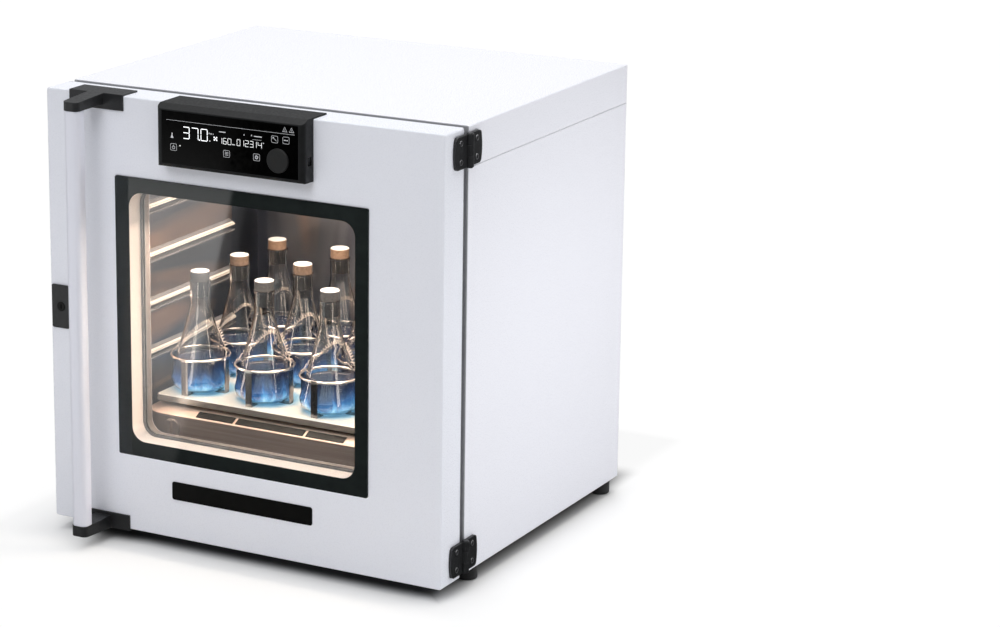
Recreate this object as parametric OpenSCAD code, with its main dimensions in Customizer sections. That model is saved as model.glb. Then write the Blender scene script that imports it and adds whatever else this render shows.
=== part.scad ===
// Incubated benchtop shaker: a cabinet with a heated chamber, a glazed door with its
// controls, and a shaking unit inside that carries clamped flasks on an orbiting tray.
// Millimetres. X runs to the right, Y to the back, Z up. The origin lies on the bench,
// under the middle of the cabinet's width and half way from the handle to the inlet.

/* [Cabinet] */
// Width of the cabinet and of the door
body_w = 740; // [700:1:900]
// Depth of the cabinet behind the door
body_d = 582; // [560:1:760]
// Height of the cabinet without its feet
body_h = 734; // [720:1:900]
// Thickness of the outer sheet
sheet = 1.5; // [1:0.1:2.5]
// Radius of the cabinet's and the door's edges
edge_r = 4; // [3:0.5:8]
// Height of the top cover's skirt
cover_h = 66; // [55:1:72]
// Width of the open line where two sheets meet
seam = 0.6; // [0.3:0.1:1.5]
// Height of the feet
foot_h = 28; // [20:1:60]
// Radius of a foot's pad
foot_r = 17; // [12:1:22]
// From the cabinet's side to the middle of a foot
foot_side = 24; // [23:1:60]
// From the cabinet's front to the middle of a front foot
foot_front = 57; // [30:1:90]
// From the cabinet's back to the middle of a rear foot
foot_rear = 24; // [23:1:60]
// How far the mains inlet stands out of the back
inlet_out = 4; // [2:0.5:8]

/* [Chamber] */
// Inside width of the chamber
chamber_w = 550; // [540:1:580]
// Inside height of the chamber
chamber_h = 535; // [520:1:550]
// Inside depth of the chamber
chamber_d = 430; // [425:1:445]
// Radius of the chamber's long edges
chamber_r = 22; // [10:1:30]
// Height of the chamber's floor over the cabinet's underside
floor_up = 98; // [90:1:102]
// Thickness of the chamber's steel
liner_t = 1.2; // [0.8:0.1:2]
// Thickness of the insulation
wool_t = 35; // [20:1:38]
// Depth of the air space behind the rear baffle
plenum = 15; // [13:0.5:18]
// Number of shelf rails on each wall
rail_count = 5; // [2:1:5]
// Step from one shelf rail to the next
rail_pitch = 84.4; // [70:0.1:86]
// Height of the lowest shelf rail over the chamber's floor
rail_low = 162.5; // [150:0.5:175]
// How far a shelf rail stands out of the wall
rail_out = 12; // [8:0.5:14]
// Height of the slot that a shelf slides in
shelf_slot = 8; // [5:0.5:12]

/* [Door] */
// Thickness of the door
door_t = 63; // [60:1:80]
// Height of the door
door_h = 738; // [724:1:900]
// How far the door hangs below the cabinet
door_drop = 4; // [0:0.5:10]
// Gap between the door and the cabinet
door_gap = 15; // [13:0.5:20]
// Width and height of the outer pane with its black border
pane_w = 474; // [450:1:500]
// Width and height of the clear window
clear_w = 424; // [400:1:440]
// Radius of the clear window's corners
clear_r = 25; // [10:1:40]
// Thickness of the outer pane
pane_t = 5; // [4:0.5:6]
// How far the outer pane stands out of the door
pane_out = 2.5; // [1:0.5:3]
// Thickness of the inner pane
inner_t = 4; // [3:0.5:6]
// Depth of the inner pane's face behind the door's front
inner_at = 39; // [30:1:45]

/* [Handle] */
// From the door's left edge to the middle of the handle
handle_in = 99; // [60:1:110]
// From the door's front to the front of the handle
handle_out = 79; // [60:1:110]
// Width of the handle's bar
bar_w = 30; // [20:1:36]
// Depth of the handle's bar
bar_d = 28; // [18:1:32]
// Width of a handle bracket's flanges
bracket_w = 104; // [60:1:110]
// Height of a bracket's plate on the door's front
bracket_h = 24; // [20:1:40]
// How far a bracket's flange runs over the door's edge
clip_d = 41; // [20:1:55]
// Thickness of the flanges that clip over the door
clip_t = 2.6; // [2:0.1:4]
// Height of the upper bracket's arm below its flange
arm_h = 16; // [12:0.5:20]
// Height of the lower bracket's arm over its flange
arm_low = 19; // [12:0.5:20]
// How far a bracket's arm narrows towards its front end
arm_slope = 4; // [0:0.5:6]

/* [Controls] */
// Width of the control box
ctrl_w = 274; // [240:1:320]
// Depth of the control box in front of the door
ctrl_out = 30; // [26:1:40]
// Height of the control box below the door's top
ctrl_h = 100; // [94:1:101]
// Wall of the control box
ctrl_wall = 3; // [2:0.5:4]
// Width of the control glass
screen_w = 253; // [220:1:256]
// Height of the control glass
screen_h = 86; // [70:1:88]
// Radius of the control knob
knob_r = 19.7; // [15:0.1:20]
// Thickness of the control knob
knob_t = 3.5; // [3:0.1:10]
// From the middle of the control box to the knob's axis
knob_x = 91.4; // [80:0.1:100]
// From the door's top to the knob's axis
knob_down = 65.4; // [60:0.1:72]
// How far the knob can be pushed in
knob_push = 0.8; // [0.4:0.1:1.5]

/* [Lock and hinges] */
// Width of the lock plate
lock_w = 33.5; // [26:0.5:36]
// Height of the lock plate
lock_h = 74; // [40:1:100]
// Radius of the lock barrel
lock_r = 8; // [6:0.5:10]
// From the door's left edge to the lock barrel's axis
lock_in = 21.5; // [18:0.5:24]
// Height of a hinge
hinge_h = 52; // [40:1:60]
// Thickness of a hinge leaf
leaf_t = 5; // [4:0.5:6]
// Length of the door's hinge leaf from the pin
leaf_door = 45; // [38:1:60]
// Length of the cabinet's hinge leaf from the pin
leaf_body = 43; // [36:1:60]
// Radius of a hinge barrel
barrel_r = 6.5; // [6:0.1:7]
// Radius of a hinge pin
hinge_pin_r = 3; // [2:0.1:3.5]
// From the door's top to the middle of the upper hinge
hinge_top = 36.5; // [34:0.5:38]
// From the door's bottom to the middle of the lower hinge
hinge_low = 36.5; // [32:0.5:80]

/* [Shaking unit] */
// Width of the shaking unit's housing
unit_w = 496; // [470:1:500]
// Depth of the shaking unit's housing
unit_d = 384; // [370:1:388]
// Height of the housing's top over the chamber's floor
unit_top = 90; // [88:1:91]
// Height of the housing's sloping rim
unit_slope = 9; // [6:0.5:12]
// Width of the housing's sloping rim
unit_rim = 20; // [14:1:24]
// Radius of the housing's upright corners
unit_r = 40; // [25:1:45]
// Wall of the housing
unit_wall = 4; // [3:0.5:5]
// From the cabinet's front to the housing's front
unit_in = 7; // [6:0.5:9]
// How far the shaking unit slides out
unit_travel = 250; // [100:5:300]
// Radius of the orbit that the tray runs on
orbit_r = 10; // [5:0.5:12]
// Direction of the crank throw as stored, in degrees
orbit_rest = -30; // [-180:5:180]
// Radius of the driven pulley
big_pulley_r = 51; // [40:1:54]
// Radius of the motor pulley
small_pulley_r = 17; // [12:1:20]
// Radius of the latch knob
latch_r = 16; // [12:1:18]

/* [Tray and flasks] */
// Width of the tray
tray_w = 475; // [460:1:480]
// Depth of the tray
tray_d = 369; // [360:1:372]
// Thickness of the tray's sheet
tray_t = 1.5; // [1:0.1:2.5]
// Height of the tray's folded lip
tray_lip = 10; // [6:0.5:10]
// Flasks across the tray
flask_cols = 4; // [2:1:4]
// Flasks from front to back
flask_rows = 3; // [2:1:3]
// Step from one flask to the next
flask_pitch = 126; // [108:1:126]
// How far the flasks stand behind the tray's middle
flask_back = 7; // [0:0.5:8]
// Radius of a flask's base
flask_r = 50.5; // [40:0.5:50.5]
// Height of a flask
flask_h = 188; // [160:1:200]
// Radius of a flask's neck
neck_r = 17; // [14:0.5:20]
// Wall of a flask
glass_t = 2; // [1.5:0.1:2.5]
// Depth of the liquid in a flask
liquid_h = 55; // [20:1:80]
// Height of a clamp's ring over the tray
ring_up = 61; // [50:1:70]
// Curls in a clamp's retaining spring
spring_curls = 7; // [3:1:8]

/* [Hidden] */

// Clearances shared by pieces that run or sit in each other
run = 0.05;
fit = 0.3;
past = 1;

// Planes from front to back
total_d = handle_out + door_t + door_gap + body_d + inlet_out;
door_y = handle_out - total_d / 2;
door_back = door_y + door_t;
body_y = door_back + door_gap;
body_rear = body_y + body_d;
// The chamber keeps room behind the shaking unit, also where that is made deeper
unit_behind = 20;
unit_needs = unit_in + unit_d + unit_behind + plenum + liner_t;
chamber_back = body_y + max(chamber_d, unit_needs);
baffle_y = chamber_back - plenum - liner_t;

// Levels
body_z = foot_h;
body_top = body_z + body_h;
cover_z = body_top - cover_h;
door_z = body_z - door_drop;
door_top = door_z + door_h;
door_mid = door_z + door_h / 2;
floor_z = body_z + floor_up;
roof_z = floor_z + chamber_h;
chamber_mid = floor_z + chamber_h / 2;
side_x = body_w / 2;

// The window is level with the chamber where the controls leave it room
pane_below = 32;
win_z = min(chamber_mid - 0.5, door_top - ctrl_h - pane_below - pane_w / 2);
win_low = win_z - pane_w / 2;
// The nameplate lies between the door's lower edge and the window
name_w = 268;
name_h = 31;
name_part = 83 / 132;
name_z = door_z + name_part * (win_low - door_z);

// Gasket ring round the chamber's mouth
gasket_w = 22;
gasket_base = 7;
gasket_out_w = chamber_w + 2 * gasket_w;
gasket_out_h = chamber_h + 2 * gasket_w;

// Screws, shared by the leaves, frame and catches
screw_r = 2.5;
head_r = 5;
head_t = 1.6;

// Hinges
hinge_x = side_x + leaf_t + 1;
hinge_y = door_back + door_gap / 2;
hinge_zs = [door_z + hinge_low, min(door_top, body_top) - hinge_top];
hinge_screw_y = 26.5;
hinge_screw_z = 15;
knuckle_h = 8.7;
knuckle_gap = 0.3;
leaf_clear = barrel_r + 0.9;
leaf_r = 7;
leaf_crown = 2;

// Fan behind the rear baffle
fan_z = chamber_mid + 26;
fan_r = 60;
fan_shaft_r = 4;
fan_motor_r = 34;
heater_ring_r = 80;
heater_r = 3.5;
wool_back = chamber_back + liner_t + seam + wool_t;
motor_post = 28;

// Handle
handle_x = handle_in - side_x;
bar_y = door_y - handle_out + bar_d / 2;

// Control box
ctrl_y = door_y - ctrl_out;
ctrl_z = door_top - ctrl_h;
screen_z = ctrl_z + 7;
knob_z = door_top - knob_down;
knob_back = ctrl_y - 0.4 - knob_push - 0.2;
knob_shaft_r = 3;
board_y = ctrl_y + 16;

// Lock
lock_x = lock_in - side_x;
lock_plate_t = 2.5;
cam_back = door_back + 6.5;
cam_t = 3;
keeper_y = cam_back - cam_t - 2.2;

// Shaking unit
unit_y = body_y + unit_in;
unit_mid = unit_y + unit_d / 2;
unit_z = floor_z + 6;
unit_roof = floor_z + unit_top;
unit_edge = unit_roof - unit_slope;
runner_t = 2.2;
runner_x = 205;
runner_half = 15;
plate_z = unit_z + 2;
plate_t = 4;
post_z = plate_z + plate_t;
plat_off = 13.5;
plat_y = unit_mid + plat_off;
throw = [orbit_r * cos(orbit_rest), orbit_r * sin(orbit_rest)];
motor_at = [-105, 60];
belt_t = 2;
belt_z = floor_z + 52;
belt_h = 12;
web_z = floor_z + 72;
web_t = 8;
drive_r = 12;
drive_pin_r = 8;
idler_r = 8;
idler_pin_r = 6;
// Idlers keep their distance from the housing's sides, front and back
idler_side = unit_w / 2 - 88;
idler_front = 100.5 - unit_d / 2 - plat_off;
idler_left = [-idler_side, idler_front];
idler_right = [idler_side, idler_front];
idler_rear = [0, unit_d / 2 - plat_off - 48.5];
idler_post_r = 18;
latch_x = -187;
latch_z = floor_z + 59;
latch_shaft_r = 5;
pawl_l = 56;
tab_x = runner_half - runner_x + 0.5;
tab_w = 8.5;
tab_h = 6.3;

// Platform
tray_top = unit_roof + 17.5;
tray_z = tray_top - tray_t;
carrier_z = unit_roof + 1;
carrier_t = 8;
clamp_t = 1.2;
flask_z = tray_top + clamp_t + 0.05;
wire_r = 2.1;
ring_r = flask_r - 0.7;
stopper_up = 17;
stopper_in = 27;

// Retaining spring of a clamp, hooked on its ring and laid over the flask's cone
coil_r = 3;
coil_wire_r = 0.9;
spring_rise = 46;
rings_per_curl = 8;
spring_rings = spring_curls * rings_per_curl;
tube_sides = 6;

// Outlines and curves

function arc(c, r, a0, a1, n) =
    [for (i = [0:n]) c + r * [cos(a0 + (a1 - a0) * i / n), sin(a0 + (a1 - a0) * i / n)]];

function round_rect(w, h, r, n = 8) = concat(
    arc([w / 2 - r, h / 2 - r], r, 0, 90, n),
    arc([-w / 2 + r, h / 2 - r], r, 90, 180, n),
    arc([-w / 2 + r, -h / 2 + r], r, 180, 270, n),
    arc([w / 2 - r, -h / 2 + r], r, 270, 360, n));

// Rounded plate that faces front, from y0 to y1, centred on x = 0 and height zc
module plate_y(y0, y1, zc, w, h, r, xc = 0) {
    translate([xc, y1, zc]) rotate([90, 0, 0]) linear_extrude(y1 - y0) polygon(round_rect(w, h, r));
}

// Ring that faces front
module ring_y(y0, y1, zc, w1, h1, r1, w2, h2, r2) {
    difference() {
        plate_y(y0, y1, zc, w1, h1, r1);
        plate_y(y0 - past, y1 + past, zc, w2, h2, r2);
    }
}

// Rounded plate that lies flat, from z0 to z1
module plate_z(z0, z1, xc, yc, w, d, r) {
    translate([xc, yc, z0]) linear_extrude(z1 - z0) polygon(round_rect(w, d, r));
}

module box(x0, x1, y0, y1, z0, z1) {
    translate([x0, y0, z0]) cube([x1 - x0, y1 - y0, z1 - z0]);
}

// Round bar along Y and along X
module bar_along_y(x, z, r, y0, y1) {
    translate([x, y0, z]) rotate([-90, 0, 0]) cylinder(r = r, h = y1 - y0, $fn = 48);
}

module bar_along_x(y, z, r, x0, x1) {
    translate([x0, y, z]) rotate([0, 90, 0]) cylinder(r = r, h = x1 - x0, $fn = 48);
}

module disc(p, r, z0, z1) {
    translate([p[0], p[1], z0]) cylinder(r = r, h = z1 - z0, $fn = 64);
}

// Plain and countersunk-looking screw: a head and a shank, pointing to +Y
module screw_y(x, y, z, shank) {
    bar_along_y(x, z, head_r, y - head_t, y);
    bar_along_y(x, z, screw_r, y - 0.1, y + shank);
}

// Screw in the right side, pointing to -X
module screw_x(y, z, x_head, shank) {
    bar_along_x(y, z, head_r - 0.2, x_head - head_t, x_head);
    bar_along_x(y, z, screw_r, x_head - shank, x_head - head_t + 0.1);
}

// Cabinet

wool_z = floor_z - liner_t - seam - wool_t;
rib_w = 40;

// Plan of a side panel: a front return, the side and a rear return, bent from one sheet
function side_outline(front_w, rear_w) = concat(
    [[-side_x + front_w, body_y + sheet], [-side_x + front_w, body_y]],
    arc([-side_x + edge_r, body_y + edge_r], edge_r, 270, 180, 6),
    arc([-side_x + edge_r, body_rear - edge_r], edge_r, 180, 90, 6),
    [[-side_x + rear_w, body_rear], [-side_x + rear_w, body_rear - sheet]],
    arc([-side_x + edge_r, body_rear - edge_r], edge_r - sheet, 90, 180, 6),
    arc([-side_x + edge_r, body_y + edge_r], edge_r - sheet, 180, 270, 6));

return_w = side_x - gasket_out_w / 2;
rear_return = 14;

module side_sheet() {
    translate([0, 0, body_z]) linear_extrude(cover_z - seam - body_z)
        polygon(side_outline(return_w, rear_return));
    // Strip inside, which carries the top cover's skirt
    box(-side_x + sheet, -side_x + 2 * sheet, body_y + 40, body_rear - 10, cover_z - 20, cover_z + 15);
}

plug_zs = [for (z = hinge_zs, s = [-1, 1]) z + s * hinge_screw_z];
plug_r = 4.5;

module left_side_panel() {
    color("white") difference() {
        side_sheet();
        for (z = plug_zs) bar_along_x(hinge_y + hinge_screw_y, z, plug_r, -side_x - past, -side_x + 4);
    }
}

module right_side_panel() {
    color("white") difference() {
        mirror([1, 0, 0]) side_sheet();
        for (z = plug_zs) bar_along_x(hinge_y + hinge_screw_y, z, screw_r, side_x - 4, side_x + past);
    }
}

module base_pan() {
    color("gainsboro") difference() {
        union() {
            box(-side_x + sheet, side_x - sheet, body_y + edge_r + 2, body_rear - edge_r - 2,
                body_z, body_z + sheet);
            box(-side_x + edge_r + 1, side_x - edge_r - 1, body_y + sheet + seam, body_rear - 2 * sheet,
                body_z, body_z + sheet);
            box(-side_x + edge_r + 1, side_x - edge_r - 1, body_rear - 3 * sheet, body_rear - 2 * sheet,
                body_z, body_z + 20);
            for (x = [-runner_x, runner_x])
                box(x - rib_w / 2, x + rib_w / 2, body_y + 30, chamber_back - 20, body_z, wool_z);
        }
        for (x = [-runner_x, runner_x])
            box(x - rib_w / 2 + 2, x + rib_w / 2 - 2, body_y + 30 - past, chamber_back - 20 + past,
                body_z + sheet, wool_z - 2);
        for (p = foot_points) disc(p, foot_stem_r + run, body_z - past, body_z + 4);
    }
}

frame_screws = [[6, 79], [6, 66], [-6, 84], [-50, 18], [-128, 18], [6, 302]];

// Frame round the chamber's mouth, between the side panels' front returns
module front_frame() {
    color("white") {
        difference() {
            box(-gasket_out_w / 2 + fit, gasket_out_w / 2 - fit, body_y, body_y + sheet,
                body_z, cover_z - seam);
            plate_y(body_y - past, body_y + sheet + past, chamber_mid,
                    chamber_w, chamber_h, chamber_r);
        }
        // Flat strips behind the joints, which tie the side panels to the frame
        for (s = [-1, 1]) box_mirrored(s, gasket_out_w / 2 - 12, gasket_out_w / 2 + 30,
                                       body_y + sheet, body_y + 2 * sheet, body_z + 10, cover_z - 10);
    }
}

// Box given for the right side; s = -1 puts it on the left
module box_mirrored(s, x0, x1, y0, y1, z0, z1) {
    box(s > 0 ? x0 : -x1, s > 0 ? x1 : -x0, y0, y1, z0, z1);
}

cover_mid = body_y + body_d / 2;

module top_cover() {
    color("white") difference() {
        union() {
            plate_z(cover_z, body_top - 1.5, 0, cover_mid, body_w, body_d, edge_r);
            hull() {
                plate_z(body_top - 1.6, body_top - 1.5, 0, cover_mid, body_w, body_d, edge_r);
                plate_z(body_top - 0.1, body_top, 0, cover_mid, body_w - 3, body_d - 3, edge_r - 1);
            }
        }
        plate_z(cover_z - past, body_top - sheet - 0.5, 0, cover_mid,
                body_w - 2 * sheet, body_d - 2 * sheet, edge_r - sheet);
        for (z = plug_zs) {
            bar_along_x(hinge_y + hinge_screw_y, z, screw_r, side_x - 4, side_x + past);
            bar_along_x(hinge_y + hinge_screw_y, z, plug_r, -side_x - past, -side_x + 4);
        }
    }
}

inlet_side = 120;
inlet_x = side_x - inlet_side;
inlet_z = body_z + 70;
vent_count = 9;
vent_h = 5;
vent_step = 12;

module rear_panel() {
    color("white") difference() {
        box(-side_x + edge_r + 0.5, side_x - edge_r - 0.5, body_rear - 2 * sheet, body_rear - sheet,
            body_z + sheet, cover_z + 10);
        box(inlet_x - 24, inlet_x + 24, body_rear - 3 * sheet, body_rear + past, inlet_z - 14, inlet_z + 14);
        for (i = [0:vent_count - 1]) {
            z = fan_z - 60 + i * vent_step;
            box(-90, 90, body_rear - 3 * sheet, body_rear + past, z, z + vent_h);
        }
    }
}

module mains_inlet() {
    color("black") difference() {
        union() {
            box(inlet_x - 30, inlet_x + 30, body_rear - sheet, body_rear - sheet + 1.5 + inlet_out,
                inlet_z - 19, inlet_z + 19);
            box(inlet_x - 23.5, inlet_x + 23.5, body_rear - 24, body_rear - sheet,
                inlet_z - 13.5, inlet_z + 13.5);
        }
        box(inlet_x - 12, inlet_x + 12, body_rear - 16, body_rear + inlet_out + past,
            inlet_z - 8, inlet_z + 8);
    }
    color("silver") for (p = [[-7, 2], [0, -2], [7, 2]])
        box(inlet_x + p[0] - 1, inlet_x + p[0] + 1, body_rear - 16, body_rear - 3,
            inlet_z + p[1] - 2.5, inlet_z + p[1] + 2.5);
}

// Supply for the heater, the fan and the drive, on the base pan under the chamber
module power_unit() {
    z0 = body_z + sheet;
    color("seagreen") {
        box(-150, 60, chamber_back - 20, chamber_back + 100, z0, z0 + 3);
        box(-140, -60, chamber_back - 10, chamber_back + 60, z0 + 3, z0 + 42);
        for (x = [-30, 0, 30]) disc([x, chamber_back + 20], 11, z0 + 3, z0 + 38);
        box(-40, 50, chamber_back + 60, chamber_back + 80, z0 + 3, z0 + 30);
    }
}

module chamber_liner() {
    color("silver") difference() {
        union() {
            plate_y(body_y + sheet, chamber_back + liner_t, chamber_mid,
                    chamber_w + 2 * liner_t, chamber_h + 2 * liner_t, chamber_r + liner_t);
            plate_y(body_y + sheet, body_y + sheet + liner_t, chamber_mid,
                    chamber_w + 16, chamber_h + 16, chamber_r + 8);
        }
        plate_y(body_y - past, chamber_back, chamber_mid, chamber_w, chamber_h, chamber_r);
        bar_along_y(0, fan_z, fan_shaft_r + 2, chamber_back - past, chamber_back + liner_t + past);
        for (x = [-heater_ring_r, heater_ring_r])
            bar_along_y(x, fan_z, heater_r + run, chamber_back - past, chamber_back + liner_t + past);
    }
}

module insulation() {
    g = liner_t + seam;
    color("lightyellow") difference() {
        box(-chamber_w / 2 - g - wool_t, chamber_w / 2 + g + wool_t, body_y + 8, wool_back,
            floor_z - g - wool_t, roof_z + g + wool_t);
        plate_y(body_y, chamber_back + g, chamber_mid, chamber_w + 2 * g, chamber_h + 2 * g, chamber_r + g);
        bar_along_y(0, fan_z, fan_shaft_r + 4, chamber_back, wool_back + past);
        for (x = [-heater_ring_r, heater_ring_r])
            bar_along_y(x, fan_z, heater_r + 1, chamber_back, wool_back + past);
        for (x = [-motor_post, motor_post], z = [-motor_post, motor_post])
            bar_along_y(x, fan_z + z, 4 + fit, chamber_back, wool_back + past);
    }
}

// One shelf rail on the left wall: two pressed beads with the shelf's slot between them.
// It ends well before the rear baffle, so air can pass behind a shelf.
rail_short = 80;

module rail_left(z) {
    x = -chamber_w / 2;
    y0 = body_y + 24;
    y1 = baffle_y - rail_short;
    bead_h = 9;
    low_h = 3;
    translate([0, y1, 0]) rotate([90, 0, 0]) linear_extrude(y1 - y0) {
        polygon([[x, z + bead_h], [x, z], [x + rail_out, z], [x + rail_out, z + 2]]);
        polygon([[x, z - shelf_slot], [x, z - shelf_slot - low_h - 4],
                 [x + rail_out, z - shelf_slot - low_h], [x + rail_out, z - shelf_slot]]);
    }
}

rail_zs = [for (i = [0:rail_count - 1]) floor_z + rail_low + i * rail_pitch];

module shelf_rails() {
    color("silver") for (z = rail_zs) {
        rail_left(z);
        mirror([1, 0, 0]) rail_left(z);
    }
}

slot_count = 9;
slot_h = 5;
slot_step = 12;

module rear_baffle() {
    w = chamber_w - 60;
    z0 = floor_z + 14;
    z1 = roof_z - 14;
    color("silver") difference() {
        union() {
            box(-w / 2, w / 2, baffle_y, baffle_y + liner_t, z0, z1);
            for (s = [-1, 1])
                box_mirrored(s, w / 2 - liner_t, w / 2, baffle_y, chamber_back, z0, z1);
        }
        for (i = [0:slot_count - 1]) {
            dz = (i - (slot_count - 1) / 2) * slot_step;
            half = sqrt(fan_r * fan_r - dz * dz);
            box(-half, half, baffle_y - past, baffle_y + liner_t + past,
                fan_z + dz - slot_h / 2, fan_z + dz + slot_h / 2);
        }
    }
}

module fan_impeller() {
    y0 = baffle_y + liner_t + 2.5;
    y1 = chamber_back - 2.5;
    color("gray") {
        bar_along_y(0, fan_z, fan_shaft_r, y0, wool_back + 36);
        difference() {
            union() {
                bar_along_y(0, fan_z, 11, y0, y1);
                bar_along_y(0, fan_z, fan_r - 2, y1 - 1.5, y1);
                for (a = [0:30:330])
                    translate([0, 0, fan_z]) rotate([0, a, 0]) translate([0, 0, -fan_z])
                        box(-0.75, 0.75, y0, y1 - 1, fan_z + 28, fan_z + fan_r - 3);
            }
            bar_along_y(0, fan_z, fan_shaft_r, y0 - past, y1 + past);
        }
    }
}

module fan_motor() {
    color("dimgray") difference() {
        union() {
            bar_along_y(0, fan_z, fan_motor_r, wool_back + seam + 2, wool_back + 46);
            box(-40, 40, wool_back + seam, wool_back + seam + 2.5, fan_z - 40, fan_z + 40);
            for (x = [-motor_post, motor_post], z = [-motor_post, motor_post])
                bar_along_y(x, fan_z + z, 4, chamber_back + liner_t, wool_back + seam + 1);
        }
        bar_along_y(0, fan_z, fan_shaft_r + run, wool_back - past, wool_back + 38);
    }
}

module heater_ring() {
    y = chamber_back - plenum / 2;
    color("darkslategray") {
        translate([0, y, fan_z]) rotate([90, 0, 0])
            rotate_extrude($fn = 96) translate([heater_ring_r, 0]) circle(r = heater_r, $fn = 24);
        for (x = [-heater_ring_r, heater_ring_r])
            bar_along_y(x, fan_z, heater_r, y, wool_back + 10);
    }
}

module chamber_lamp() {
    color("ivory") box(-150, 150, body_y + 26, body_y + 48, roof_z - 12, roof_z);
}

module door_gasket() {
    color("black") {
        difference() {
            union() {
                plate_y(body_y - gasket_base, body_y, chamber_mid, gasket_out_w, gasket_out_h, 44);
                plate_y(door_back + fit, body_y - gasket_base, chamber_mid,
                        gasket_out_w - 6, gasket_out_h - 6, 41);
            }
            plate_y(body_y - gasket_base, body_y + past, chamber_mid,
                    chamber_w + 2, chamber_h + 2, chamber_r + 1);
            plate_y(door_back - past, body_y - gasket_base, chamber_mid,
                    chamber_w + 12, chamber_h + 12, chamber_r + 6);
        }
    }
}

// Catches on the frame's left side, low and high, in which the door's tongues seat
catch_w = 18;
catch_x = -gasket_out_w / 2 - 8 - catch_w;
catch_t = 10;
catch_zs = [floor_z + 67, roof_z - 67];
catch_half = 47;
tongue_w = 8;
tongue_h = 26;

module door_catches() {
    color("black") for (i = [0, 1]) {
        z = catch_zs[i];
        s = i == 0 ? -1 : 1;
        difference() {
            box(catch_x, catch_x + catch_w, body_y - catch_t, body_y, z - catch_half, z + catch_half);
            box(catch_x + (catch_w - tongue_w) / 2 - past, catch_x + (catch_w + tongue_w) / 2 + past,
                body_y - catch_t - past, body_y - 2, z - tongue_h / 2 - past, z + tongue_h / 2 + past);
            for (e = [-1, 1])
                bar_along_y(catch_x + catch_w / 2, z + e * (catch_half - 16), screw_r,
                            body_y - catch_t - past, body_y + past);
        }
        box(catch_x + catch_w, -gasket_out_w / 2 - fit, body_y - 4, body_y,
            z + s * 20 - 10, z + s * 20 + 10);
    }
    // Keeper that the lock's cam turns behind
    color("silver") difference() {
        box(lock_x + 20, lock_x + 34, keeper_y, body_y, door_mid - 12, door_mid + 12);
        box(lock_x + 19, lock_x + 31, keeper_y + 1.6, body_y - 1.5, door_mid - 13, door_mid + 13);
    }
}

module cabinet_screws() {
    color("silver") {
        for (p = frame_screws, s = [-1, 1]) {
            x = s * (gasket_out_w / 2 + p[0]);
            screw_y(x, body_y, body_z + p[1], 0);
        }
        for (z = catch_zs, e = [-1, 1])
            screw_y(catch_x + catch_w / 2, body_y - catch_t, z + e * (catch_half - 16), catch_t - 0.5);
        for (z = hinge_zs, e = [-1, 1])
            screw_x(hinge_y + hinge_screw_y, z + e * hinge_screw_z, side_x + leaf_t + 0.3, 10);
    }
}

module side_plugs() {
    color("black") for (z = plug_zs) {
        bar_along_x(hinge_y + hinge_screw_y, z, plug_r + 1.2, -side_x - 1, -side_x);
        bar_along_x(hinge_y + hinge_screw_y, z, plug_r - run, -side_x - 0.5, -side_x + 5);
    }
}

foot_stem_r = 4;
foot_xs = side_x - foot_side;
foot_points = [for (x = [-foot_xs, foot_xs], y = [body_y + foot_front, body_rear - foot_rear]) [x, y]];

module feet() {
    color("black") for (p = foot_points) translate([p[0], p[1], 0])
        rotate_extrude($fn = 64) polygon([
            [0, 0], [foot_r - 1.5, 0], [foot_r, 1.5], [foot_r, foot_h - 8], [foot_r - 4, foot_h - 4],
            [foot_r - 4, foot_h], [foot_stem_r, foot_h], [foot_stem_r, foot_h + 12], [0, foot_h + 12]]);
}

// Hinges

// Barrel piece with its bore, between two heights from the hinge's middle
module knuckle(z, z0, z1) {
    translate([hinge_x, hinge_y, z + z0]) cylinder(r = barrel_r, h = z1 - z0, $fn = 48);
}

// Leaf on the right side with a crowned far edge and rounded corners; s = -1 for the door's leaf
module leaf(s, far, z) {
    h = hinge_h / 2;
    c = far - leaf_crown - leaf_r;
    translate([side_x, hinge_y, z]) rotate([90, 0, 90]) linear_extrude(leaf_t) polygon(concat(
        [[s * leaf_clear, h], [s * leaf_clear, -h]],
        [for (i = [0:6]) [s * (c + leaf_r * sin(15 * i)), -h + leaf_r - leaf_r * cos(15 * i)]],
        [for (t = [-0.75:0.25:0.75]) [s * (far - leaf_crown * t * t), t * (h - leaf_r)]],
        [for (i = [0:6]) [s * (c + leaf_r * cos(15 * i)), h - leaf_r + leaf_r * sin(15 * i)]]));
}

module leaf_holes(z, s) {
    for (e = [-1, 1]) {
        y = hinge_y + s * hinge_screw_y;
        bar_along_x(y, z + e * hinge_screw_z, screw_r, side_x - past, side_x + leaf_t + past);
        bar_along_x(y, z + e * hinge_screw_z, head_r, side_x + leaf_t - head_t + 0.3, side_x + leaf_t + past);
    }
}

module hinge_leaves_body() {
    h = hinge_h / 2;
    color("black") for (z = hinge_zs) difference() {
        union() {
            leaf(1, leaf_body, z);
            for (r = [[-h, -knuckle_h - knuckle_gap], [knuckle_h + knuckle_gap, h]]) {
                knuckle(z, r[0], r[1]);
                box(side_x, side_x + leaf_t, hinge_y, hinge_y + leaf_clear + past, z + r[0], z + r[1]);
            }
        }
        translate([hinge_x, hinge_y, z - h - past]) cylinder(r = hinge_pin_r + run, h = hinge_h + 2 * past, $fn = 48);
        leaf_holes(z, 1);
    }
}

module hinge_leaves_door() {
    h = hinge_h / 2;
    color("black") for (z = hinge_zs) difference() {
        union() {
            leaf(-1, leaf_door, z);
            knuckle(z, -knuckle_h, knuckle_h);
            box(side_x, side_x + leaf_t, hinge_y - leaf_clear - past, hinge_y, z - knuckle_h, z + knuckle_h);
        }
        translate([hinge_x, hinge_y, z - h - past]) cylinder(r = hinge_pin_r + run, h = hinge_h + 2 * past, $fn = 48);
        leaf_holes(z, -1);
    }
}

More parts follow.
